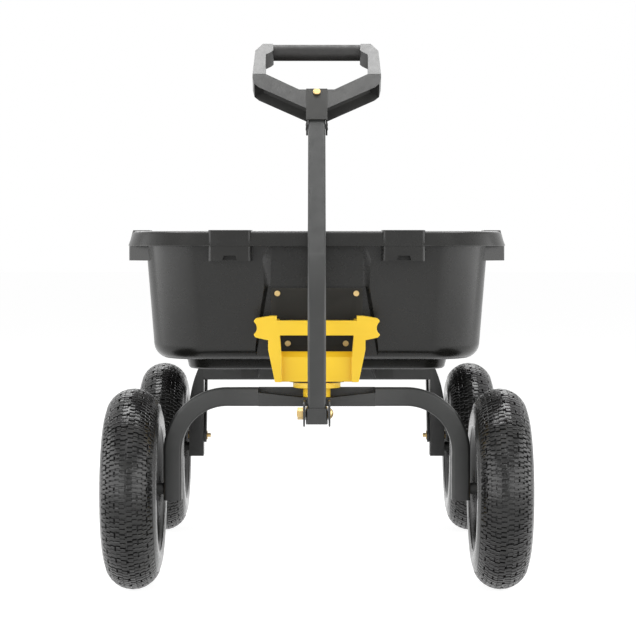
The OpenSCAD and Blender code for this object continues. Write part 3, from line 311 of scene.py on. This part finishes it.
dress("head_plate", "head_plate_cut", 0.0010, "chassis", charcoal)
dress("steering_head", "steering_collar", 0.0010, "chassis", yellow)
dress("king_pin", "king_pin_bar", 0.0008, "chassis", turned_steel)
dress("king_pin_washer", "king_pin_flat_washer", 0.0005, "chassis", zinc)
dress("king_pin_nut", "king_pin_hex_nut", 0.0009, "chassis", zinc)
dress("latch_catch", "latch_catch_welded", 0.0008, "chassis", charcoal)

# Rubber rests
# A block under the front of the tub and two half-round pads on the rear crossbar, moulded in black
# rubber and bonded on; the tub lies on them when it is down.
RUBBER_BUMP = (0.25, 0.0006)


def moulded(name, dark, light, rough, scales, bump, shine=0.5):
    finish, tree, shader = finish_start(name)
    place = own_place(tree)
    cloud, patch, grain = scales
    tone = ramp(tree, mottle(tree, place, cloud, 4.0), dark, light)
    tree.links.new(tone, shader.inputs["Base Color"])
    tree.links.new(spread(tree, mottle(tree, place, patch), *rough), shader.inputs["Roughness"])
    relief(tree, shader, mottle(tree, place, grain, 2.0), *bump)
    shader.inputs["Specular IOR Level"].default_value = shine
    return finish


pad_black = moulded("pad_black_rubber", (0.012, 0.012, 0.012), (0.022, 0.022, 0.021), (0.55, 0.75),
                    (22.0, 90.0, 500.0), RUBBER_BUMP)
dress("front_rest", "front_rest_block", 0.0015, "chassis", pad_black)
dress("bump_pads", "bump_pad_pair", 0.0008, "chassis", pad_black)

# Rear axle ends and tub pivots
# Turned steel stub axles are pressed through the legs and painted with them; zinc washers and nuts
# hold the wheels. The pivot bolts pass through the legs and carry the tub's tip arms inside them.


def axle_ends(end, body):
    dress(end + "_stub_axles", end + "_stub_axle_pair", 0.0008, body, charcoal)
    dress(end + "_axle_washers", end + "_axle_washer_pair", 0.0005, body, zinc)
    dress(end + "_axle_nuts", end + "_axle_nut_pair", 0.0010, body, zinc)


axle_ends("rear", "chassis")
dress("pivot_bolts", "pivot_bolt_pair", 0.0007, "chassis", zinc)

# Front axle
# Two square tubes bent through a right angle are welded to a pressed saddle; the saddle's front wall
# is dished round the steering collar and its back wall stands to full height.
ARCH_TUBE = 0.030
ARCH_CORNER = 0.005
ARCH_WALL = 0.003
ARCH_Z = 0.317
ARCH_START = 0.096
ARCH_BEND_X = 0.147
ARCH_BEND_Z = 0.227
ARCH_LEG = 0.080
SAME_POINT = 0.000001


def tube_end(name, spot, turn):
    bpy.ops.object.select_all(action="DESELECT")
    bpy.ops.mesh.primitive_plane_add(size=ARCH_TUBE, location=spot, rotation=turn)
    piece = bpy.context.object
    piece.name = piece.data.name = name
    bpy.ops.object.transform_apply(location=True, rotation=True, scale=True)
    bpy.ops.object.mode_set(mode="EDIT")
    bpy.ops.mesh.select_all(action="SELECT")
    bpy.ops.mesh.bevel(offset=ARCH_CORNER, segments=6, affect="VERTICES")
    bpy.ops.mesh.select_all(action="SELECT")
    bpy.ops.mesh.inset(thickness=ARCH_WALL)
    bpy.ops.mesh.delete(type="FACE")
    bpy.ops.mesh.select_all(action="SELECT")
    return piece


def pull_out(way):
    bpy.ops.mesh.extrude_region_move(TRANSFORM_OT_translate={"value": way})


for side, sign in (("left", -1.0), ("right", 1.0)):
    arch = tube_end("bent_axle_tube_" + side, (sign * ARCH_START, FRONT, ARCH_Z), (0.0, math.pi / 2, 0.0))
    pull_out((sign * (ARCH_BEND_X - ARCH_START), 0.0, 0.0))
    bpy.ops.mesh.spin(steps=24, angle=-sign * math.pi / 2, axis=(0.0, 1.0, 0.0),
                      center=(sign * ARCH_BEND_X, FRONT, ARCH_BEND_Z))
    pull_out((0.0, 0.0, -ARCH_LEG))
    bpy.ops.mesh.select_all(action="SELECT")
    bpy.ops.mesh.remove_doubles(threshold=SAME_POINT)
    bpy.ops.mesh.normals_make_consistent(inside=False)
    bpy.ops.object.mode_set(mode="OBJECT")
    shade(arch)
    fit(arch, "front_axle", charcoal, "axle_tube_" + side)
dress("steering_saddle", "pressed_saddle", 0.0012, "front_axle", charcoal)

# Tongue
# Two plates welded to the front of the saddle hold the foot of the handle between spacers; a dome-head
# bolt with a hex nut goes through all of them.
dress("tongue_plates", "tongue_plate_pair", 0.0007, "front_axle", charcoal)
dress("tongue_spacers", "tongue_spacer_pair", 0.0003, "front_axle", turned_steel)
dress("tongue_bolt", "tongue_dome_bolt", 0.0008, "front_axle", zinc)
dress("tongue_nut", "tongue_hex_nut", 0.0010, "front_axle", zinc)

# Front axle ends
# The same painted stub axles, zinc washers and nuts as at the back, pressed through the front legs.
axle_ends("front", "front_axle")

# Tyres
# Pneumatic tyres moulded in black rubber with rows of small tread blocks, a dashed groove round the
# middle, lugs at the shoulders and smooth side walls with moulded rings. The outline is in millimetres.
TREAD_STEPS = 720
STEPS_PER_DEGREE = TREAD_STEPS / 360
TREAD_PERIOD = 18
TREAD_EDGES = [-64, -55, -47, -44.5, -35, -25, -22.5, -13, -2, 2, 13, 22.5, 25, 35, 44.5, 47, 55, 64]
LAST_COLUMN = len(TREAD_EDGES) - 2
SIPES = {0: (0, 1, 9, 10), 1: (2, 8, 14), 3: (0, 6, 12, 13),
         4: (4, 10, 11, 16), 6: (3, 9, 10, 15), 7: (5, 11, 12, 17)}
SLOTS = {2: (3, 9), 5: (10, 17), 8: (1, 6)}
CROWN = 118.8
BASE = 43.0
BASE_SLACK = 1.0
BLOCK_RISE = 0.0021
BLOCK_EDGE = 0.0008
TURN_WELD = 0.000002
WALL_LINE = [(29.9, 78.6), (29.9, 88.2), (31.2, 90.4), (34.2, 92.8), (38.8, 97.2), (41.2, 101.2),
             (41.8, 102.2), (43.2, 102.8), (44.7, 107.5), (45.4, 112.5), (45.6, 118.8), (45.1, 124.6),
             (43.6, 130.6), (41.2, 136.0), (39.6, 137.2)]
HALF_TRACK = 0.301
STATIONS = {"front_left": (-HALF_TRACK, FRONT), "front_right": (HALF_TRACK, FRONT),
            "rear_left": (-HALF_TRACK, REAR), "rear_right": (HALF_TRACK, REAR)}


def trace(name, points):
    bpy.ops.object.select_all(action="DESELECT")
    bpy.ops.mesh.primitive_plane_add(size=0.01)
    piece = bpy.context.object
    piece.name = piece.data.name = name
    bpy.ops.object.mode_set(mode="EDIT")
    bpy.ops.mesh.select_mode(type="VERT")
    bpy.ops.mesh.select_all(action="SELECT")
    bpy.ops.mesh.merge(type="CENTER")
    bpy.ops.transform.translate(value=points[0])
    for last, point in zip(points, points[1:]):
        pull_out(Vector(point) - Vector(last))
    bpy.ops.mesh.select_all(action="SELECT")
    bpy.ops.mesh.remove_doubles(threshold=SAME_POINT)
    bpy.ops.mesh.select_all(action="SELECT")
    return piece


def face_outward():
    bpy.ops.mesh.select_all(action="SELECT")
    bpy.ops.mesh.normals_make_consistent(inside=False)
    bpy.ops.object.mode_set(mode="OBJECT")


def turned(name, profile, steps):
    piece = trace(name, [(x / 1000, 0.0, r / 1000) for x, r in profile + profile[:1]])
    bpy.ops.mesh.spin(steps=steps, angle=2 * math.pi, center=(0.0, 0.0, 0.0), axis=(1.0, 0.0, 0.0))
    bpy.ops.mesh.select_all(action="SELECT")
    bpy.ops.mesh.remove_doubles(threshold=TURN_WELD)
    face_outward()
    return piece


def on_base(lean):
    angle = math.radians(lean)
    return BASE * math.sin(angle), CROWN + BASE * math.cos(angle)


def block_here(column, step):
    if column > LAST_COLUMN // 2:
        column, step = LAST_COLUMN - column, (step + TREAD_PERIOD // 2) % TREAD_PERIOD
    if column in SLOTS:
        return not SLOTS[column][0] <= step <= SLOTS[column][1]
    return step not in SIPES[column]


tread_line = [on_base(lean) for lean in TREAD_EDGES]
tyre = turned("tyre_form", [(-x, r) for x, r in WALL_LINE] + tread_line + WALL_LINE[::-1], TREAD_STEPS)
bpy.ops.object.mode_set(mode="EDIT")
bpy.ops.mesh.select_mode(type="FACE")
bpy.ops.mesh.select_all(action="DESELECT")
bpy.ops.object.mode_set(mode="OBJECT")
for face in tyre.data.polygons:
    x, y, z = face.center * 1000
    around = math.hypot(y, z)
    lean = math.degrees(math.atan2(x, around - CROWN))
    off_base = abs(math.hypot(x, around - CROWN) - BASE)
    if abs(lean) < TREAD_EDGES[-1] and around > CROWN and off_base < BASE_SLACK:
        column = sum(lean > edge for edge in TREAD_EDGES) - 1
        count = int(math.floor(math.degrees(math.atan2(y, z)) % 360.0 * STEPS_PER_DEGREE))
        face.select = block_here(column, count % TREAD_PERIOD)
pick(tyre)
bpy.ops.object.mode_set(mode="EDIT")
bpy.ops.mesh.extrude_region_shrink_fatten(TRANSFORM_OT_shrink_fatten={"value": BLOCK_RISE})
bpy.ops.mesh.inset(thickness=BLOCK_EDGE, depth=BLOCK_EDGE, use_boundary=True)
bpy.ops.mesh.select_mode(type="VERT")
bpy.ops.object.mode_set(mode="OBJECT")
shade(tyre, 28.0)

wheel_place = tyre.data.attributes.new("wheel_place", "FLOAT_VECTOR", "POINT")
for index, vertex in enumerate(tyre.data.vertices):
    wheel_place.data[index].vector = vertex.co


def reckon(tree, kind, first, second=0.0):
    step = tree.nodes.new("ShaderNodeMath")
    step.operation = kind
    for socket, value in zip(step.inputs, (first, second)):
        if isinstance(value, float):
            socket.default_value = value
        else:
            tree.links.new(value, socket)
    return step.outputs["Value"]


def reach(tree, first, second):
    squares = [reckon(tree, "POWER", length, 2.0) for length in (first, second)]
    return reckon(tree, "SQRT", reckon(tree, "ADD", *squares))


def tyre_rubber():
    finish, tree, shader = finish_start("tyre_black_rubber")
    stored = tree.nodes.new("ShaderNodeAttribute")
    stored.attribute_name = "wheel_place"
    place = stored.outputs["Vector"]
    parts = tree.nodes.new("ShaderNodeSeparateXYZ")
    tree.links.new(place, parts.inputs["Vector"])
    across = parts.outputs["X"]
    rise = reckon(tree, "SUBTRACT", reach(tree, parts.outputs["Y"], parts.outputs["Z"]), CROWN / 1000)
    block = spread(tree, reach(tree, across, rise), 0.0, 1.0, 0.0432, 0.0452)
    outward = spread(tree, reckon(tree, "ABSOLUTE", across), 0.0, 1.0, 0.0408, 0.0420)
    wall = reckon(tree, "MAXIMUM", outward, spread(tree, rise, 1.0, 0.0, -0.003, 0.003))
    # Painted shade: the groove floors between the tread blocks are painted near black, while block tops
    # and side walls take the mottled rubber tone.
    groove_painted_shade = tree.nodes.new("ShaderNodeMix")
    groove_painted_shade.data_type = "RGBA"
    groove_painted_shade.inputs["A"].default_value = grey(0.003)
    tone = ramp(tree, mottle(tree, place, 26.0, 5.0), (0.007, 0.007, 0.007), (0.015, 0.015, 0.014))
    tree.links.new(tone, groove_painted_shade.inputs["B"])
    tree.links.new(reckon(tree, "MAXIMUM", block, wall), groove_painted_shade.inputs["Factor"])
    tree.links.new(groove_painted_shade.outputs["Result"], shader.inputs["Base Color"])
    dull = spread(tree, mottle(tree, place, 120.0), 0.09, 0.19)
    rough = reckon(tree, "ADD", dull, reckon(tree, "MULTIPLY", wall, 0.05))
    tree.links.new(rough, shader.inputs["Roughness"])
    relief(tree, shader, mottle(tree, place, 300.0, 4.0), 0.35, 0.0012)
    shader.inputs["Specular IOR Level"].default_value = 0.42
    return finish


tyre_black = tyre_rubber()
for station, (x, y) in STATIONS.items():
    copy = bpy.data.objects.new("air_tyre_" + station, tyre.data.copy())
    turn = Matrix.Rotation(math.pi if x < 0 else 0.0, 4, "Z")
    copy.data.transform(Matrix.Translation((x, y, AXLE_Z)) @ turn)
    scene.collection.objects.link(copy)
    fit(copy, "wheel_" + station, tyre_black, "tyre_" + station)
bpy.data.objects.remove(tyre)

# Rims
# Pressed steel rims with a welded hub tube, painted dark; flanged bushes are pressed into the hub and
# a rubber valve stem stands in the well.
rim_dark = powder_coat("rim_dark_paint", (0.010, 0.010, 0.011), (0.015, 0.015, 0.016), (0.04, 0.04, 0.04),
                       0.25, 0.50, 0.66)
for station in STATIONS:
    wheel = "wheel_" + station
    dress("rim_" + station, "pressed_rim_" + station, 0.0012, wheel, rim_dark, 2, 40.0)
    dress("bearings_" + station, "hub_bushes_" + station, 0.0005, wheel, zinc)
    dress("valve_" + station, "valve_stem_" + station, 0.0005, wheel, pad_black)

# Tub
# One moulding in black poly with a fine grain: sloping walls, a lowered floor pan, a rolled rim with
# pockets below it and a flat let into the front wall for the latch plate. Its forms are in millimetres,
# each with its half width, front and back at the foot and at the top, measured from the front axle.
FLOOR_Z = 374.7
PAN_Z = 357.7
LIP_Z = 564.2
RIM_Z = 589.2
RIM_FRONT = 0.018
RIM_BACK = 0.998
RIM_SIDE = 0.318
POCKET_X = 0.1425
POCKET_Y = (0.134, 0.846)
POCKET_W = 0.069
POCKET_EDGE = 0.0042
LEVEL = 0.0001

poly = moulded("tub_black_poly", (0.0075, 0.0075, 0.0065), (0.0105, 0.0105, 0.0095), (0.24, 0.30),
               (12.0, 40.0, 900.0), (0.08, 0.0004), 0.39)


def choose(piece, kind, rule):
    bpy.ops.object.mode_set(mode="EDIT")
    bpy.ops.mesh.select_mode(type=kind)
    bpy.ops.mesh.select_all(action="DESELECT")
    bpy.ops.object.mode_set(mode="OBJECT")
    mesh = piece.data
    if kind == "FACE":
        for face in mesh.polygons:
            face.select = rule(face.center, face.normal)
    else:
        for edge in mesh.edges:
            edge.select = rule(mesh.vertices[edge.vertices[0]].co, mesh.vertices[edge.vertices[1]].co)
    bpy.ops.object.mode_set(mode="EDIT")


def cube(name, middle, size):
    bpy.ops.object.select_all(action="DESELECT")
    bpy.ops.mesh.primitive_cube_add(size=1.0, location=middle)
    piece = bpy.context.object
    piece.name = piece.data.name = name
    bpy.ops.transform.resize(value=size)
    bpy.ops.object.transform_apply(location=True, rotation=True, scale=True)
    return piece


def round_edges(piece, radius, segments, rule):
    choose(piece, "EDGE", rule)
    bpy.ops.mesh.bevel(offset=radius, segments=segments, affect="EDGES")


def drafted(name, z_low, low, z_high, high, corner, foot, brim=0.0):
    wide, deep = 2 * high[0] / 1000, (high[2] - high[1]) / 1000
    middle = (high[1] + high[2]) / 2000 + FRONT
    piece = cube(name, (0.0, middle, (z_low + z_high) / 2000), (wide, deep, (z_high - z_low) / 1000))
    bottom = z_low / 1000 + LEVEL
    top = z_high / 1000 - LEVEL
    choose(piece, "FACE", lambda spot, way: way.z < -0.9)
    bpy.ops.transform.resize(value=(2 * low[0] / 1000 / wide, (low[2] - low[1]) / 1000 / deep, 1.0),
                             center_override=(0.0, middle, z_low / 1000))
    bpy.ops.transform.translate(value=(0.0, (low[1] + low[2]) / 2000 + FRONT - middle, 0.0))
    round_edges(piece, corner / 1000, 14, lambda a, b: abs(a.z - b.z) > 0.001)
    round_edges(piece, foot / 1000, 6, lambda a, b: a.z < bottom and b.z < bottom)
    if brim:
        round_edges(piece, brim / 1000, 4, lambda a, b: a.z > top and b.z > top)
    bpy.ops.mesh.select_mode(type="VERT")
    bpy.ops.object.mode_set(mode="OBJECT")
    return piece


def combine(piece, other, kind):
    pick(piece)
    step = piece.modifiers.new("combined", "BOOLEAN")
    step.operation = kind
    step.solver = "EXACT"
    step.object = other
    bpy.ops.object.modifier_apply(modifier=step.name)
    bpy.data.objects.remove(other)


def wedge(name, back, front):
    corners = [(x, y, z) for y, rows in (back, front) for half, z in rows for x in (-half, half)]
    piece = trace(name, [(x / 1000, y / 1000 + FRONT, z / 1000) for x, y, z in corners])
    bpy.ops.mesh.convex_hull()
    face_outward()
    return piece


def pocket_shell(name, lean, flare):
    line = [(1.0, 539.7), (1.0, 564.0), (0.2, 564.2), (0.2 + lean, 590.7), (49.0, 590.7), (49.0, 539.7)]
    piece = trace(name, [(-POCKET_W / 2, y / 1000, z / 1000) for y, z in line + line[:1]])
    bpy.ops.mesh.edge_face_add()
    pull_out((POCKET_W, 0.0, 0.0))
    face_outward()
    choose(piece, "FACE", lambda spot, way: way.y > 0.9)
    bpy.ops.transform.resize(value=(flare, 1.0, 1.0), center_override=(0.0, 0.0, 0.0))
    round_edges(piece, POCKET_EDGE, 3, lambda a, b: abs(a.x - b.x) < LEVEL and max(a.y, b.y) < 0.009)
    bpy.ops.mesh.select_mode(type="VERT")
    bpy.ops.object.mode_set(mode="OBJECT")
    soften(piece, 0.0012)
    return piece


def pocket_block(name, low, high):
    middle = [(a + b) / 2000 for a, b in zip(low, high)]
    return cube(name, middle, [(b - a) / 1000 for a, b in zip(low, high)])


def end_places():
    for x in (-POCKET_X, POCKET_X):
        yield Matrix.Translation((x, FRONT - RIM_FRONT, 0.0))
        yield Matrix.Translation((x, FRONT + RIM_BACK, 0.0)) @ Matrix.Rotation(math.pi, 4, "Z")


def side_places():
    for y in POCKET_Y:
        for sign in (-1, 1):
            turn = Matrix.Rotation(sign * math.pi / 2, 4, "Z")
            yield Matrix.Translation((sign * RIM_SIDE, FRONT + y, 0.0)) @ turn


def set_round(form, places, kind):
    for place in places:
        copy = bpy.data.objects.new(form.name + "_set", form.data.copy())
        copy.data.transform(place)
        scene.collection.objects.link(copy)
        combine(tub, copy, kind)
    bpy.data.objects.remove(form)


tub = drafted("moulded_tub", FLOOR_Z, (274.1, 33.9, 912.8), RIM_Z, (289.8, 18.2, 966.2), 85, 24)
pan = drafted("pan_form", PAN_Z, (215.9, 68.1, 878.6), 386.0, (222.0, 56.9, 889.8), 40, 5)
combine(tub, pan, "UNION")
recess = wedge("recess_form", (33.5, [(75.2, 563.7), (77.5, 488.0)]),
               (-10.0, [(95.5, 563.7), (128.0, 488.0)]))
combine(tub, recess, "DIFFERENCE")
bay = wedge("plate_bay", (39.9, [(80.5, 498.2), (104.8, 358.0)]),
            (-10.0, [(102.0, 498.2), (130.0, 358.0)]))
combine(tub, bay, "DIFFERENCE")
hollow = drafted("hollow_form", 379.7, (269.1, 38.9, 907.8), 620.0, (286.8, 21.0, 967.7), 80, 19)
pan_hollow = drafted("pan_hollow", 362.7, (210.9, 73.1, 873.6), 390.0, (217.0, 61.9, 884.8), 35, 4)
combine(hollow, pan_hollow, "UNION")
recess_back = wedge("recess_back", (44.9, [(83.0, 568.7), (117.5, 340.0)]),
                    (-10.0, [(108.0, 568.7), (142.0, 340.0)]))
combine(hollow, recess_back, "DIFFERENCE")
brim = drafted("brim_form", LIP_Z, (318.0, -18.0, 998.0), RIM_Z, (310.0, -10.0, 990.0), 115, 1.6, 5.0)
brim_hollow = drafted("brim_hollow", 550.0, (314.0, -14.0, 994.0), 584.2, (306.5, -6.5, 986.5), 111, 1.0)
combine(brim, brim_hollow, "DIFFERENCE")
combine(tub, brim, "UNION")
set_round(pocket_shell("end_pocket", 0.4, 1.06), end_places(), "UNION")
set_round(pocket_shell("side_pocket", 7.4, 1.9), side_places(), "UNION")
combine(tub, hollow, "DIFFERENCE")
pocket_hollow = pocket_block("pocket_hollow", (-30.5, 5.0, 530.0), (30.5, 33.0, 562.0))
set_round(pocket_hollow, [*end_places(), *side_places()], "DIFFERENCE")
slot = pocket_block("pocket_slot", (-12.3, -2.0, 541.2), (12.3, 9.0, 548.8))
choose(slot, "FACE", lambda spot, way: way.z > 0.9)
bpy.ops.transform.resize(value=(0.76, 1.0, 1.0), center_override=(0.0, 0.0, 0.0))
bpy.ops.object.mode_set(mode="OBJECT")
set_round(slot, [*end_places(), *side_places()], "DIFFERENCE")
shade(tub, 30.0)
level_faces(tub)
fit(tub, "tub", poly, "tub")

# Latch plate
# A steel plate with two ears is bolted to the tub's front wall; four dome-head bolts have round nuts
# inside the tub, and a pin through the ears carries the release lever.
plate_black = powder_coat("latch_plate_black", (0.010, 0.009, 0.0065), (0.014, 0.013, 0.0095),
                          (0.045, 0.043, 0.036), 0.26)
dress("front_plate", "latch_plate", 0.0008, "tub", plate_black)
dress("plate_bolts", "plate_dome_bolts", 0.0024, "tub", zinc, 4)
dress("plate_nuts", "plate_round_nuts", 0.0010, "tub", zinc)
dress("latch_pin", "lever_pin", 0.0006, "tub", turned_steel)

# Tip frame
# Two box rails are bolted under the floor pan; a bar across their rear ends joins them to the tip
# arms, which hang on the pivot bolts inside the rear legs.
dress("floor_rails", "floor_rail_pair", 0.0020, "tub", charcoal)
dress("rail_bolts", "rail_flat_bolts", 0.0004, "tub", zinc)
dress("tip_crossbar", "tip_crossbar_tube", 0.0020, "tub", charcoal)
dress("tip_arms", "tip_arm_pair", 0.0008, "tub", charcoal)

# Release lever
# A yellow casting that hangs on the lever pin: a bar with hollowed ends to lift by, two cheeks and a
# web with a hook that reaches towards the catch.
dress("release_lever", "lever_casting", 0.0018, "latch", yellow, 3)

# Pull handle
# A square tube bent back in one wide curve, powder coated; its foot is a sleeve that takes the wear of
# the tongue bolt.
dress("handle_tube_bent", "handle_tube_long", 0.0, "pull_handle", charcoal)
dress("handle_foot", "handle_foot_sleeve", 0.0006, "pull_handle", charcoal)

# Grip
# A D grip moulded in satin grey plastic is held in a folded steel knuckle that turns on a rivet through
# the handle; the hand bar is rubber and a zinc hitch pin goes through the knuckle. One half is drawn
# flat, in millimetres from the rivet, then mirrored and leaned back.
GRIP_LEAN = -40.0
GRIP_RAKE = 12.0
GRIP_KNEE = 0.107
GRIP_BACK = 0.08863
GRIP_Z = 0.76415
GRIP_HALF_T = 16.5
CHANNEL_WALL = 0.0050
CHANNEL_DEPTH = 0.016
ARM_LINE = [(17.0, 71.0), (17.0, 27.0), (98.5, 76.0), (106.5, 84.5), (109.5, 99.5), (109.5, 108.0),
            (88.0, 108.0), (30.0, 71.0)]
LIMB_LINE = [(109.5, -3.2), (106.6, 69.0), (93.5, 90.8), (76.0, 90.8), (75.0, 71.0), (79.0, 65.0),
             (88.0, 57.0), (88.0, -3.2)]

grip_grey = moulded("grip_grey_plastic", (0.030, 0.030, 0.029), (0.040, 0.040, 0.038), (0.28, 0.38),
                    (30.0, 80.0, 1100.0), (0.15, 0.0003))
bar_black = moulded("bar_black_rubber", (0.016, 0.015, 0.014), (0.026, 0.025, 0.024), (0.50, 0.66),
                    (22.0, 90.0, 700.0), RUBBER_BUMP)
knuckle_dark = powder_coat("knuckle_dark_coat", (0.018, 0.018, 0.016), (0.024, 0.024, 0.022),
                           (0.06, 0.06, 0.057), 0.26)
dress("grip_knuckle", "folded_knuckle", 0.0010, "grip", knuckle_dark)


def half_slab(name, outline, front, back):
    piece = trace(name, [(x / 1000, front / 1000, u / 1000) for x, u in outline + outline[:1]])
    bpy.ops.mesh.edge_face_add()
    pull_out((0.0, (back - front) / 1000, 0.0))
    face_outward()
    return piece


grip = half_slab("moulded_d_grip", ARM_LINE, -GRIP_HALF_T, GRIP_HALF_T)
choose(grip, "FACE", lambda spot, way: way.z < -0.6 and way.x > 0.2)
bpy.ops.mesh.inset(thickness=CHANNEL_WALL, depth=-CHANNEL_DEPTH)
bpy.ops.object.mode_set(mode="OBJECT")
limb = half_slab("grip_limb", LIMB_LINE, -16.4, 14.0)
bpy.ops.object.mode_set(mode="EDIT")
bpy.ops.mesh.select_all(action="SELECT")
bpy.ops.transform.translate(value=(0.0, 0.0, GRIP_KNEE))
bpy.ops.transform.rotate(value=math.radians(GRIP_RAKE), orient_axis="X",
                         center_override=(0.0, 0.0, GRIP_KNEE))
bpy.ops.object.mode_set(mode="OBJECT")
combine(grip, limb, "UNION")
soften(grip, 0.0022, 3, 28.0)
pick(grip)
twin = grip.modifiers.new("other_half", "MIRROR")
bpy.ops.object.modifier_apply(modifier=twin.name)
lean_back = Matrix.Rotation(math.radians(GRIP_LEAN), 4, "X")
grip.data.transform(Matrix.Translation((0.0, FRONT + GRIP_BACK, GRIP_Z)) @ lean_back)
shade(grip, 40.0)
level_faces(grip)
fit(grip, "grip", grip_grey, "grip_frame")
dress("hand_bar", "hand_bar_sleeve", 0.0010, "grip", bar_black)
dress("grip_rivet", "grip_pivot_rivet", 0.0004, "grip", turned_steel)
dress("hitch_pin", "hitch_pin_zinc", 0.0010, "hitch_pin", zinc, 3)
